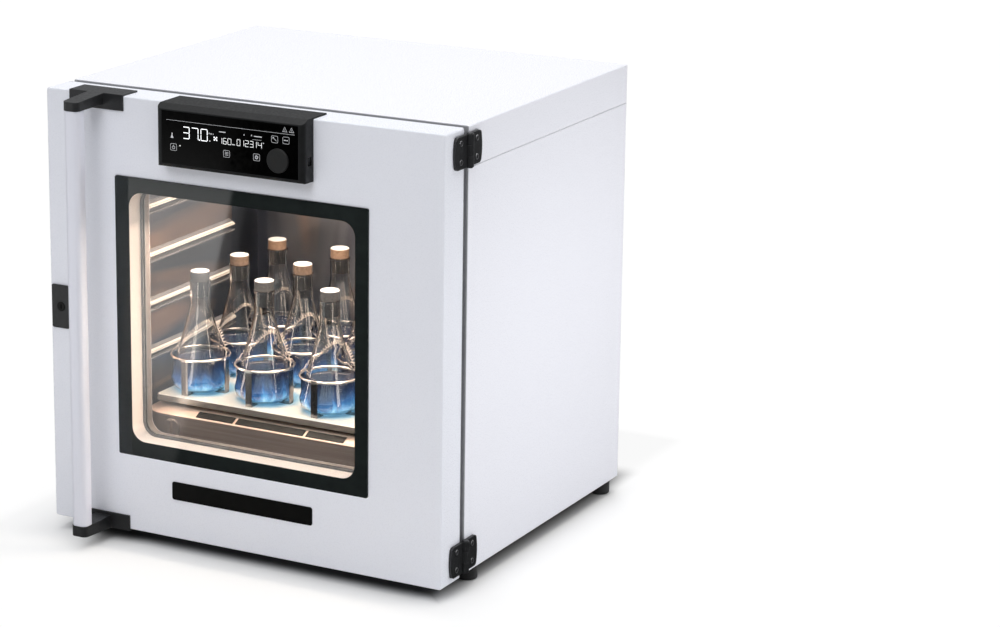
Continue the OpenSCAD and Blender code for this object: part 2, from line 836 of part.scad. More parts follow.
module hinge_pins() {
    h = hinge_h / 2;
    color("silver") for (z = hinge_zs) {
        disc([hinge_x, hinge_y], hinge_pin_r, z - h - 1, z + h + 1);
        for (e = [-1, 1]) disc([hinge_x, hinge_y], hinge_pin_r + 2, z + e * (h + 0.75) - 0.75, z + e * (h + 0.75) + 0.75);
    }
}

// Door

module door_shell() {
    color("white") difference() {
        union() {
            plate_y(door_y + 1.5, door_back - sheet - fit, door_mid, body_w, door_h, edge_r);
            hull() {
                plate_y(door_y + 1.4, door_y + 1.5, door_mid, body_w, door_h, edge_r);
                plate_y(door_y, door_y + 0.1, door_mid, body_w - 3, door_h - 3, edge_r - 1);
            }
        }
        plate_y(door_y + sheet + 0.3, door_back + past, door_mid,
                body_w - 2 * sheet, door_h - 2 * sheet, edge_r - sheet);
        plate_y(door_y - past, door_y + 5, win_z, pane_w + 0.6, pane_w + 0.6, 3);
        bar_along_y(lock_x, door_mid, lock_r + run, door_y - past, door_y + 5);
        for (z = plug_zs)
            bar_along_x(hinge_y - hinge_screw_y, z, screw_r, side_x - 4, side_x + past);
    }
}

// Inner frame of the door: a flange behind the pane, the window's reveal and the back
module door_liner() {
    y1 = door_y + pane_t - pane_out;
    color("linen") {
        difference() {
            union() {
                plate_y(y1, y1 + sheet, win_z, pane_w + 16, pane_w + 16, 4);
                plate_y(y1, door_back, win_z, clear_w + 2 * sheet, clear_w + 2 * sheet, clear_r + sheet);
                plate_y(door_back - sheet, door_back, door_mid, body_w, door_h, edge_r);
            }
            plate_y(door_y - past, door_back + past, win_z, clear_w, clear_w, clear_r);
            bar_along_y(lock_x, door_mid, lock_r + run, door_back - 5, door_back + past);
        }
        for (z = catch_zs)
            box(catch_x + (catch_w - tongue_w) / 2, catch_x + (catch_w + tongue_w) / 2,
                door_back, body_y - 4, z - tongue_h / 2, z + tongue_h / 2);
    }
}

module outer_glass() {
    color("lightcyan", 0.3)
        plate_y(door_y - pane_out, door_y + pane_t - pane_out - 0.3, win_z, pane_w, pane_w, 3);
}

// Black enamel on the back of the outer pane
module glass_border() {
    y = door_y + pane_t - pane_out;
    color("black") ring_y(y - 0.3, y, win_z, pane_w, pane_w, 3, clear_w, clear_w, clear_r);
}

inner_w = clear_w - 1;
seal_in = 3;

module inner_glass() {
    color("lightcyan", 0.3)
        plate_y(door_y + inner_at, door_y + inner_at + inner_t, win_z, inner_w, inner_w, clear_r);
}

module glazing_seal() {
    y0 = door_y + inner_at - 4;
    y1 = door_y + inner_at + inner_t + 4;
    color("dimgray") difference() {
        plate_y(y0, y1, win_z, clear_w, clear_w, clear_r);
        plate_y(y0 - past, y1 + past, win_z, clear_w - 2 * seal_in, clear_w - 2 * seal_in, clear_r - seal_in);
        plate_y(door_y + inner_at, door_y + inner_at + inner_t, win_z, inner_w, inner_w, clear_r);
    }
}

module handle_bar() {
    z0 = door_z + arm_low;
    z1 = door_top - arm_h;
    color("silver") translate([handle_x, bar_y, z0]) linear_extrude(z1 - z0)
        polygon(round_rect(bar_w - 2, bar_d - 2, 9));
}

// Bracket on the door's top edge: a folded plate that carries an arm with a rounded nose
module bracket(arm) {
    plate = 3;
    nose = 9;
    x0 = handle_x - bracket_w / 2;
    x1 = handle_x + bracket_w / 2;
    y0 = bar_y - bar_d / 2;
    top = door_top + clip_t;
    box(x0, x1, door_y - plate, door_y + clip_d, door_top, top);
    box(x0, x1, door_y - plate, door_y, door_top - bracket_h, top);
    root = door_y - plate + 0.5;
    difference() {
        translate([handle_x, 0, door_top - arm]) linear_extrude(arm + clip_t) polygon(concat(
            [[bar_w / 2, root], [-bar_w / 2, root]],
            arc([-bar_w / 2 + nose, y0 + nose], nose, 180, 270, 4),
            arc([bar_w / 2 - nose, y0 + nose], nose, 270, 360, 4)));
        // The arm's outer face slopes towards its nose
        translate([x0, 0, 0]) rotate([90, 0, 90]) linear_extrude(bracket_w)
            polygon([[door_y - plate, top], [y0 - past, top - arm_slope], [y0 - past, top + past],
                     [door_y - plate, top + past]]);
    }
}

module handle_brackets() {
    color("black") {
        bracket(arm_h);
        translate([0, 0, 2 * door_mid]) mirror([0, 0, 1]) bracket(arm_low);
    }
}

module door_screws() {
    color("silver") for (z = hinge_zs, e = [-1, 1])
        screw_x(hinge_y - hinge_screw_y, z + e * hinge_screw_z, side_x + leaf_t + 0.3, 10);
}

module lock_plate() {
    x = -side_x + 3 + lock_w / 2;
    color("black") difference() {
        plate_y(door_y - lock_plate_t, door_y, door_mid, lock_w, lock_h, 3, x);
        bar_along_y(lock_x, door_mid, lock_r + run, door_y - 2 * lock_plate_t, door_y + past);
    }
}

// Lock barrel through the door, with the cam that turns behind the frame's keeper
module lock_barrel() {
    color("dimgray") {
        difference() {
            bar_along_y(lock_x, door_mid, lock_r, door_y - lock_plate_t - 0.4, cam_back);
            box(lock_x - 0.8, lock_x + 0.8, door_y - lock_plate_t - past, door_y + 3,
                door_mid - 4, door_mid + 4);
        }
        box(lock_x - 5, lock_x + 5, cam_back - cam_t, cam_back, door_mid - 28, door_mid);
    }
}

module nameplate() {
    color("black") plate_y(door_y - 1.2, door_y, name_z, name_w, name_h, 4);
}

// Side view of the control box, drawn in by the wall for its inside
function ctrl_side(cut) = [
    [door_y + cut / 2, door_top - cut], [ctrl_y + 13, door_top + clip_t - cut],
    [ctrl_y + cut, door_top - 5 - cut], [ctrl_y + cut, ctrl_z + 5 + cut / 2],
    [ctrl_y + 4 + cut / 2, ctrl_z + 1 + cut], [door_y + cut / 2, ctrl_z + cut]];

module ctrl_across(w, points) {
    translate([-w / 2, 0, 0]) rotate([90, 0, 90]) linear_extrude(w) polygon(points);
}

ctrl_r = 8;
port_down = 66;
port_z = door_top - port_down;

module control_housing() {
    color("black") difference() {
        union() {
            ctrl_across(ctrl_w, ctrl_side(0));
            box(-ctrl_w / 2, ctrl_w / 2, ctrl_y + 13, door_y + clip_d, door_top, door_top + clip_t);
        }
        ctrl_across(ctrl_w - 2 * ctrl_wall, ctrl_side(ctrl_wall));
        box(-ctrl_w / 2 + ctrl_wall, ctrl_w / 2 - ctrl_wall, door_y - 3, door_y + past,
            ctrl_z + ctrl_wall, door_top - ctrl_wall);
        // Rounded upright front corners
        for (s = [-1, 1]) translate([s * (ctrl_w / 2 - ctrl_r), ctrl_y + ctrl_r, ctrl_z - past])
            linear_extrude(ctrl_h + clip_t + 2 * past) polygon(concat(
                [[s * (ctrl_r + past), -ctrl_r - past], [s * (ctrl_r + past), 0]],
                [for (i = [0:6]) ctrl_r * [s * cos(15 * i), -sin(15 * i)]],
                [[0, -ctrl_r - past]]));
        box(-screen_w / 2, screen_w / 2, ctrl_y - past, ctrl_y + 2, screen_z, screen_z + screen_h);
        bar_along_y(knob_x, knob_z, knob_shaft_r + fit, ctrl_y - past, ctrl_y + ctrl_wall + past);
        box(ctrl_w / 2 - 8, ctrl_w / 2 + past, door_y - 17, door_y - 6, port_z - 7, port_z + 7);
    }
}

module control_glass() {
    color("black") difference() {
        box(-screen_w / 2 + 0.2, screen_w / 2 - 0.2, ctrl_y - 0.4, ctrl_y + 2,
            screen_z + 0.2, screen_z + screen_h - 0.2);
        bar_along_y(knob_x, knob_z, knob_shaft_r + fit, ctrl_y - past, ctrl_y + ctrl_wall);
    }
}

module control_board() {
    color("darkgreen") difference() {
        union() {
            box(-screen_w / 2 + 4, screen_w / 2 - 4, board_y, board_y + 1.6, screen_z + 3, screen_z + screen_h - 8);
            box(-104, 70, ctrl_y + ctrl_wall, board_y + 0.5, screen_z + screen_h - 56, screen_z + screen_h - 20);
            box(knob_x - 8, knob_x + 8, ctrl_y + ctrl_wall + 4, board_y + 0.5, knob_z - 8, knob_z + 8);
        }
        bar_along_y(knob_x, knob_z, knob_shaft_r + run, ctrl_y, board_y + 3);
    }
}

module knob_shaft() {
    color("silver") bar_along_y(knob_x, knob_z, knob_shaft_r, knob_back - knob_t + 1.2, board_y + 0.5);
}

module control_knob() {
    color("dimgray") difference() {
        translate([knob_x, knob_back, knob_z]) rotate([90, 0, 0]) rotate_extrude($fn = 96)
            polygon([[0, 0], [knob_r, 0], [knob_r, knob_t - 0.8], [knob_r - 0.8, knob_t], [0, knob_t]]);
        bar_along_y(knob_x, knob_z, knob_shaft_r + run, knob_back - knob_t + 1.1, knob_back + past);
    }
}

// Shaking unit

module shaker_runners() {
    color("silver") {
        for (x = [-runner_x, runner_x])
            box(x - runner_half, x + runner_half, body_y + 10, chamber_back - 40, floor_z, floor_z + runner_t);
        // Two low tabs on the floor that hold the latch's pawl between them and let the base plate pass
        for (y = [unit_y + 11, unit_y + 19.5]) box(tab_x, tab_x + tab_w, y, y + 2.5, floor_z, floor_z + tab_h);
    }
}

module idler_post(p) {
    disc([p[0], plat_y + p[1]], idler_post_r, post_z, web_z - 8);
}

module shaker_base() {
    inset = unit_wall + 1;
    idlers = [idler_left, idler_right, idler_rear];
    color("gray") difference() {
        union() {
            plate_z(plate_z, post_z, 0, unit_mid, unit_w - 2 * inset, unit_d - 2 * inset, unit_r - inset);
            for (x = [-runner_x, runner_x])
                box(x - 8, x + 8, unit_y + 40, unit_y + unit_d - 30, floor_z + runner_t + fit, plate_z + 0.5);
            disc([0, plat_y], 28, post_z - 0.5, belt_z - 4);
            for (p = idlers) idler_post(p);
        }
        disc([0, plat_y], drive_r + run, plate_z - past, belt_z);
        for (p = idlers) disc([p[0], plat_y + p[1]], idler_r + run, post_z + 6, web_z);
        // Notch that the pawl turns down through
        box(latch_x - 12, latch_x + 34, unit_y, unit_y + 25, plate_z - past, post_z + past);
    }
}

vent_slots = 6;
groove_z = floor_z + 44;

// Housing form: straight sides with a sloping rim, drawn in by the wall for the inside
module unit_form(cut, z0) {
    w = unit_w - 2 * cut;
    d = unit_d - 2 * cut;
    r = unit_r - cut;
    hull() {
        plate_z(z0, unit_edge - cut, 0, unit_mid, w, d, r);
        plate_z(unit_roof - cut - 0.1, unit_roof - cut, 0, unit_mid,
                w - 2 * unit_rim, d - 2 * unit_rim, r - unit_rim / 2);
    }
}

module shaker_housing() {
    color("dimgray") difference() {
        unit_form(0, unit_z);
        unit_form(unit_wall, unit_z - past);
        disc([0, plat_y], drive_pin_r + orbit_r + 3, unit_roof - 2 * unit_wall, unit_roof + past);
        for (p = [idler_left, idler_right, idler_rear])
            disc([p[0], plat_y + p[1]], idler_pin_r + orbit_r + 3, unit_roof - 2 * unit_wall, unit_roof + past);
        for (s = [-1, 1])
            box_mirrored(s, unit_w / 2 - 2, unit_w / 2 + past, unit_y + 26, unit_y + unit_d - unit_r,
                         groove_z - 5, groove_z + 5);
        for (i = [0:vent_slots - 1])
            translate([-unit_w / 2 + unit_rim, unit_y + 62 + 15 * i, unit_roof - 2])
                rotate([0, -25, 0]) cube([16, 5, 18], center = true);
        bar_along_y(latch_x, latch_z, latch_shaft_r + run, unit_y - past, unit_y + unit_wall + past);
    }
}

label_ws = [72, 130, 72];
label_gap = 5;
label_xs = [-label_ws[1] / 2 - label_gap - label_ws[0] / 2, 0, label_ws[1] / 2 + label_gap + label_ws[2] / 2];
rim_angle = atan(unit_slope / unit_rim);

// Three bare plates on the housing's sloping front rim
module shaker_labels() {
    color("black") for (i = [0:2])
        translate([label_xs[i], unit_y + unit_rim / 2, unit_edge + unit_slope / 2])
            rotate([rim_angle, 0, 0]) translate([0, 0, 0.55])
                cube([label_ws[i], 15, 0.9], center = true);
}

module drive_motor() {
    p = [motor_at[0], plat_y + motor_at[1]];
    color("black") difference() {
        union() {
            box(p[0] - 29, p[0] + 29, p[1] - 29, p[1] + 29, post_z, belt_z - 6);
            disc(p, 15, belt_z - 6.5, belt_z - 3);
        }
        disc(p, 4 + run, post_z + 12, belt_z);
    }
}

module motor_pulley() {
    p = [motor_at[0], plat_y + motor_at[1]];
    color("silver") {
        disc(p, small_pulley_r, belt_z, belt_z + belt_h);
        disc(p, 4, post_z + 14, belt_z + belt_h + 2);
    }
}

// Belt round both pulleys: two arcs joined by the outer tangents
function belt_loop(r1, r2, n = 24) =
    let (d = norm(motor_at), a = acos((r1 - r2) / d), dir = atan2(motor_at[1], motor_at[0]))
    concat(arc([0, 0], r1, dir + a, dir + 360 - a, 2 * n), arc(motor_at, r2, dir - a, dir + a, n));

module drive_belt() {
    in1 = big_pulley_r + fit;
    in2 = small_pulley_r + fit;
    color("black") translate([0, plat_y, belt_z + 1]) linear_extrude(belt_h - 2) difference() {
        polygon(belt_loop(in1 + belt_t, in2 + belt_t));
        polygon(belt_loop(in1, in2));
    }
}

module drive_crank() {
    c = [0, plat_y];
    color("silver") {
        disc(c, drive_r, post_z, web_z + 0.5);
        disc(c, big_pulley_r, belt_z, belt_z + belt_h);
        disc(c, drive_r + 6, belt_z - 3.5, belt_z + 0.5);
        disc(c, 24, web_z, web_z + web_t);
        // Counterweight opposite to the throw
        translate([0, plat_y, web_z]) rotate([0, 0, orbit_rest + 180]) intersection() {
            cylinder(r = 48, h = web_t, $fn = 96);
            translate([6, -50, 0]) cube([60, 100, web_t]);
        }
        disc(c + throw, drive_pin_r, web_z + web_t - 0.5, carrier_z + 14);
    }
}

module idler_crank(p) {
    c = [p[0], plat_y + p[1]];
    color("silver") {
        disc(c, idler_r, post_z + 8, web_z - 4);
        disc(c, 20, web_z - 7.7, web_z + web_t - 4);
        disc(c + throw, idler_pin_r, web_z + web_t - 4.5, carrier_z + 13);
    }
}

module idler_crank_left() {
    idler_crank(idler_left);
}

module idler_crank_right() {
    idler_crank(idler_right);
}

module idler_crank_rear() {
    idler_crank(idler_rear);
}

// Knob with a bar grip, its shaft, and the pawl that turns down between the tabs on the floor
module latch_knob() {
    grip_h = 6;
    color("gray") {
        bar_along_y(latch_x, latch_z, latch_r, unit_y - 5, unit_y - 0.4);
        intersection() {
            bar_along_y(latch_x, latch_z, latch_r - 0.5, unit_y - 5 - grip_h, unit_y - 4);
            box(latch_x - 4, latch_x + 4, unit_y - 5 - grip_h, unit_y - 4, latch_z - 30, latch_z + 30);
        }
        bar_along_y(latch_x, latch_z, latch_shaft_r, unit_y - 1, unit_y + 17.5);
        box(latch_x, latch_x + pawl_l, unit_y + 14.5, unit_y + 18.5, latch_z - 4, latch_z + 4);
    }
}

// Platform, drawn where the crank's throw holds it

module on_platform() {
    translate([throw[0], throw[1], 0]) children();
}

carrier_arms = [[-1, -1], [1, -1], [-1, 1], [1, 1]];

module platform_carrier() {
    bores = [[[0, 0], drive_pin_r], [idler_left, idler_pin_r], [idler_right, idler_pin_r], [idler_rear, idler_pin_r]];
    color("silver") on_platform() difference() {
        union() {
            for (y = [idler_left[1], idler_rear[1]])
                box(-tray_w / 2 + 25, tray_w / 2 - 25, plat_y + y - 16, plat_y + y + 16,
                    tray_z - carrier_t, tray_z);
            box(-16, 16, plat_y + idler_left[1], plat_y + idler_rear[1], tray_z - carrier_t, tray_z);
            for (b = bores)
                disc([b[0][0], plat_y + b[0][1]], b[1] + 6, carrier_z, tray_z - carrier_t + 1);
        }
        for (b = bores)
            disc([b[0][0], plat_y + b[0][1]], b[1] + run, carrier_z - past, tray_z + past);
    }
}

hole_r = 2.2;
notch_r = 3.5;

module tray() {
    color("silver") on_platform() difference() {
        translate([0, plat_y, 0]) union() {
            box(-tray_w / 2, tray_w / 2, -tray_d / 2, tray_d / 2, tray_z, tray_top);
            for (s = [-1, 1]) {
                box_mirrored(s, tray_w / 2 - tray_t, tray_w / 2, -tray_d / 2 + notch_r, tray_d / 2 - notch_r,
                             tray_top - tray_lip, tray_top);
                box(-tray_w / 2 + notch_r, tray_w / 2 - notch_r,
                    s * (tray_d / 2 - tray_t / 2) - tray_t / 2, s * (tray_d / 2 - tray_t / 2) + tray_t / 2,
                    tray_top - tray_lip, tray_top);
            }
        }
        for (x = [-1, 1], y = [-1, 1])
            disc([x * (tray_w / 2 - 1), plat_y + y * (tray_d / 2 - 1)], notch_r, tray_z - past, tray_top + past);
        for (c = [0:flask_cols - 2], r = [0:flask_rows - 2])
            translate([flask_x(c) + flask_pitch / 2, flask_y(r) + flask_pitch / 2, 0])
                for (p = [[-10, 0], [10, 0], [0, -10], [0, 10]])
                    disc(p, hole_r, tray_z - past, tray_top + past);
        for (r = [0:flask_rows - 2], s = [-1, 1])
            disc([s * (tray_w / 2 - 20), flask_y(r) + flask_pitch / 2], hole_r, tray_z - past, tray_top + past);
    }
}

function flask_x(c) = (c - (flask_cols - 1) / 2) * flask_pitch;
function flask_y(r) = plat_y + flask_back + (r - (flask_rows - 1) / 2) * flask_pitch;

module at_flasks(z) {
    on_platform() for (c = [0:flask_cols - 1], r = [0:flask_rows - 1])
        translate([flask_x(c), flask_y(r), z]) children();
}

leg_w = 12;
leg_in = flask_r + 0.5;

module clamp() {
    for (a = [0, 90]) rotate([0, 0, a])
        box(-leg_in, leg_in, -leg_w / 2, leg_w / 2, 0, clamp_t);
    for (a = [0:90:270]) rotate([0, 0, a])
        box(leg_in - 0.2, leg_in + clamp_t, -leg_w / 2, leg_w / 2, 0, ring_up + wire_r);
    translate([0, 0, ring_up]) rotate_extrude($fn = 96) translate([ring_r, 0]) circle(r = wire_r, $fn = 24);
}

module clamps() {
    color("silver") at_flasks(tray_top) clamp();
}

// Radius of a flask at a height over its base
base_round = 20;
cone_z = 22;
neck_h = 44;
neck_z = flask_h - neck_h;

function flask_outline(cut) = concat(
    [[0, cut]],
    arc([flask_r - base_round, base_round], base_round - cut, -90, 0, 8),
    [[flask_r - cut, cone_z], [neck_r - cut + 2, neck_z - 6], [neck_r - cut, neck_z + 4]]);

function flask_radius(z) =
    z < cone_z ? flask_r : flask_r - (flask_r - neck_r) * min(1, (z - cone_z) / (neck_z - cone_z));

module flask() {
    difference() {
        rotate_extrude($fn = 96) polygon(concat(flask_outline(0),
            [[neck_r, flask_h - 4], [neck_r + 1.2, flask_h - 2.5], [neck_r + 1.2, flask_h], [0, flask_h]]));
        rotate_extrude($fn = 96) polygon(concat(flask_outline(glass_t),
            [[neck_r - glass_t, flask_h + past], [0, flask_h + past]]));
    }
}

module flasks() {
    color("lightcyan", 0.3) at_flasks(flask_z) flask();
}

module liquid() {
    gap = glass_t + run;
    intersection() {
        rotate_extrude($fn = 96) polygon(concat(flask_outline(gap), [[0, neck_z + 4]]));
        cylinder(r = 2 * flask_r, h = liquid_h, $fn = 96);
    }
}

module flask_liquid() {
    color("dodgerblue") at_flasks(flask_z) liquid();
}

module stopper() {
    r = neck_r - glass_t - run;
    translate([0, 0, flask_h]) rotate_extrude($fn = 64) polygon([
        [0, -stopper_in], [r - 1.5, -stopper_in], [r, 0], [r + 1, run], [r + 1.2, stopper_up - 1],
        [r + 0.2, stopper_up], [0, stopper_up]]);
}

module stoppers() {
    color("tan") at_flasks(flask_z) stopper();
}

// Middle line of the retaining spring: from the ring's left over the cone's back to its right
spring_start = ring_up + wire_r + coil_wire_r + 0.3;

function unit(v) = v / norm(v);

function spring_line(t) =
    let (a = 180 - 180 * t, z = spring_start + spring_rise * sin(180 * t),
         near = flask_radius(z - clamp_t) + coil_r + coil_wire_r + 0.8,
         r = ring_r + (near - ring_r) * min(1, 6 * min(t, 1 - t)))
    [r * cos(a), r * sin(a), z];

// Axes across the middle line: outwards from the flask, and square to both
function spring_out(t) = unit([cos(180 - 180 * t), sin(180 - 180 * t), 0.6]);
function spring_up(t) = unit(cross(unit(spring_line(t + 0.001) - spring_line(t - 0.001)), spring_out(t)));

// The coil swells from a straight end to its full radius over half a curl
function coil_swell(t) = coil_r * min(1, min(t, 1 - t) * spring_curls * 2);

function coil_point(t) =
    let (f = 360 * spring_curls * t)
    spring_line(t) + coil_swell(t) * (cos(f) * spring_out(t) + sin(f) * spring_up(t));

// Rings of points round a line, closed into one tube
module tube(line, r, sides) {
    n = len(line);
    rings = [for (i = [0:n - 1])
        let (d = unit(line[min(i + 1, n - 1)] - line[max(i - 1, 0)]),
             u = unit(cross(d, abs(d[2]) > 0.9 ? [1, 0, 0] : [0, 0, 1])), v = cross(d, u))
        [for (k = [0:sides - 1]) line[i] + r * (cos(360 * k / sides) * u + sin(360 * k / sides) * v)]];
    polyhedron([for (ring = rings) each ring], concat(
        [for (i = [0:n - 2], k = [0:sides - 1]) let (a = i * sides + k, b = i * sides + (k + 1) % sides)
            each [[a, b, b + sides], [a, b + sides, a + sides]]],
        [for (k = [1:sides - 2]) [0, k + 1, k]],
        [for (k = [1:sides - 2]) let (e = (n - 1) * sides) [e, e + k, e + k + 1]]));
}

spring_points = [for (i = [0:spring_rings]) coil_point(i / spring_rings)];

// Least distance between points at least half a curl apart, less the wire
spring_gap = min([for (i = [0:spring_rings - 5], j = [i + 5:spring_rings])
    norm(spring_points[i] - spring_points[j])]) - 2 * coil_wire_r;
echo(clamp_spring_least_gap = spring_gap);

module clamp_springs() {
    color("silver") at_flasks(tray_top) tube(spring_points, coil_wire_r, tube_sides);
}

base_pan();
left_side_panel();
right_side_panel();
front_frame();
top_cover();
rear_panel();
chamber_liner();
insulation();
shelf_rails();
rear_baffle();
fan_motor();
heater_ring();
chamber_lamp();
door_gasket();
door_catches();
hinge_leaves_body();
hinge_pins();
cabinet_screws();
side_plugs();
feet();
mains_inlet();
power_unit();
shaker_runners();
fan_impeller();
door_shell();
door_liner();
outer_glass();
glass_border();
inner_glass();
glazing_seal();
handle_bar();
handle_brackets();
hinge_leaves_door();
door_screws();
lock_plate();
nameplate();
control_housing();
control_glass();
control_board();
lock_barrel();
knob_shaft();
control_knob();
shaker_base();
shaker_housing();
shaker_labels();
drive_motor();
drive_belt();
latch_knob();
motor_pulley();
drive_crank();
idler_crank_left();
idler_crank_right();
idler_crank_rear();
platform_carrier();
tray();
clamps();
clamp_springs();
flasks();
flask_liquid();
stoppers();
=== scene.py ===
import math

import bmesh
import bpy
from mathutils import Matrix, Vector


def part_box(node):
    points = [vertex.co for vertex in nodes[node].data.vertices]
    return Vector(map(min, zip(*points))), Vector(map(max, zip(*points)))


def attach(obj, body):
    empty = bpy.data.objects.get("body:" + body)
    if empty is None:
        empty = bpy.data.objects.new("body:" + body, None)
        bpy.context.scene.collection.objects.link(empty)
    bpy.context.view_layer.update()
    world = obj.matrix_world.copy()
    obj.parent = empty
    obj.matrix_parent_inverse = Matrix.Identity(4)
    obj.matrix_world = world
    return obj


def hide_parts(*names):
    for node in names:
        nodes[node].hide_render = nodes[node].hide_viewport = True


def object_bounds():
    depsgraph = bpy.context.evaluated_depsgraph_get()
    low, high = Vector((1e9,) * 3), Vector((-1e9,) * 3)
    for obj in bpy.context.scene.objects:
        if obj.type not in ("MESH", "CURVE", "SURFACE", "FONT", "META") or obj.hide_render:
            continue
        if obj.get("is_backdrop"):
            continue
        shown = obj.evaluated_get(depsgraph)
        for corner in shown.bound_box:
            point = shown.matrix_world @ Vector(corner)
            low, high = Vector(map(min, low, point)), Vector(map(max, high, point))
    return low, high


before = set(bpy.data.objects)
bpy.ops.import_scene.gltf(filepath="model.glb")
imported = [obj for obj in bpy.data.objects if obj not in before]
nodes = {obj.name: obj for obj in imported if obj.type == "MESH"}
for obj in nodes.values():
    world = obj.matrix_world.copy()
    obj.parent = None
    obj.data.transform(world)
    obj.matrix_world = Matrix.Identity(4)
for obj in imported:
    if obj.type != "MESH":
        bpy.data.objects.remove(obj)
cad_lo, cad_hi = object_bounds()


def mm(*v):
    return Vector([x / 1000 for x in v])


def lo_hi(node):
    """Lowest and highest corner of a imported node's box, in millimetres."""
    lo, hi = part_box(node)
    return lo * 1000, hi * 1000


door_lo, door_hi = lo_hi("door_shell")
door_y, door_z = door_lo.y, door_lo.z
screen_y = lo_hi("control_glass")[0].y

# Planes between which the door's gap lies, in metres
front_y = lo_hi("front_frame")[0].y / 1000
back_y = door_hi.y / 1000 + 0.0018

# Camera: its eye is given in cabinet widths from the door's lower left front corner
CABINET_W = 740
EYE = (4.0009, -5.6553, 2.3774)
AZIMUTH, ELEVATION = math.radians(30.17), math.radians(14.73)
PICTURE_PX, FOCAL_PX = 1000, 3172.2
SENSOR = 36
cam = bpy.data.cameras.new("camera")
cam.sensor_width = SENSOR
cam.lens = SENSOR * FOCAL_PX / PICTURE_PX
cam.shift_x = 0.1749
cam.shift_y = -0.0368
cam.clip_start = 0.1
cam.clip_end = 60
camera = bpy.data.objects.new("camera", cam)
bpy.context.scene.collection.objects.link(camera)
back = Vector((math.sin(AZIMUTH) * math.cos(ELEVATION), -math.cos(AZIMUTH) * math.cos(ELEVATION),
               math.sin(ELEVATION)))
camera.location = mm(EYE[0] * CABINET_W - CABINET_W / 2, EYE[1] * CABINET_W + door_y, EYE[2] * CABINET_W + door_z)
camera.rotation_mode = "QUATERNION"
camera.rotation_quaternion = (-back).to_track_quat("-Z", "Y")
bpy.context.scene.camera = camera


# Material helpers

def shades(base, amount):
    """Stops of a ramp from a little darker than a colour to a little lighter."""
    dark = tuple(max(0.0, c * (1 - amount)) for c in base)
    light = tuple(min(1.0, c * (1 + amount)) for c in base)
    return [(0.3, dark), (0.7, light)]


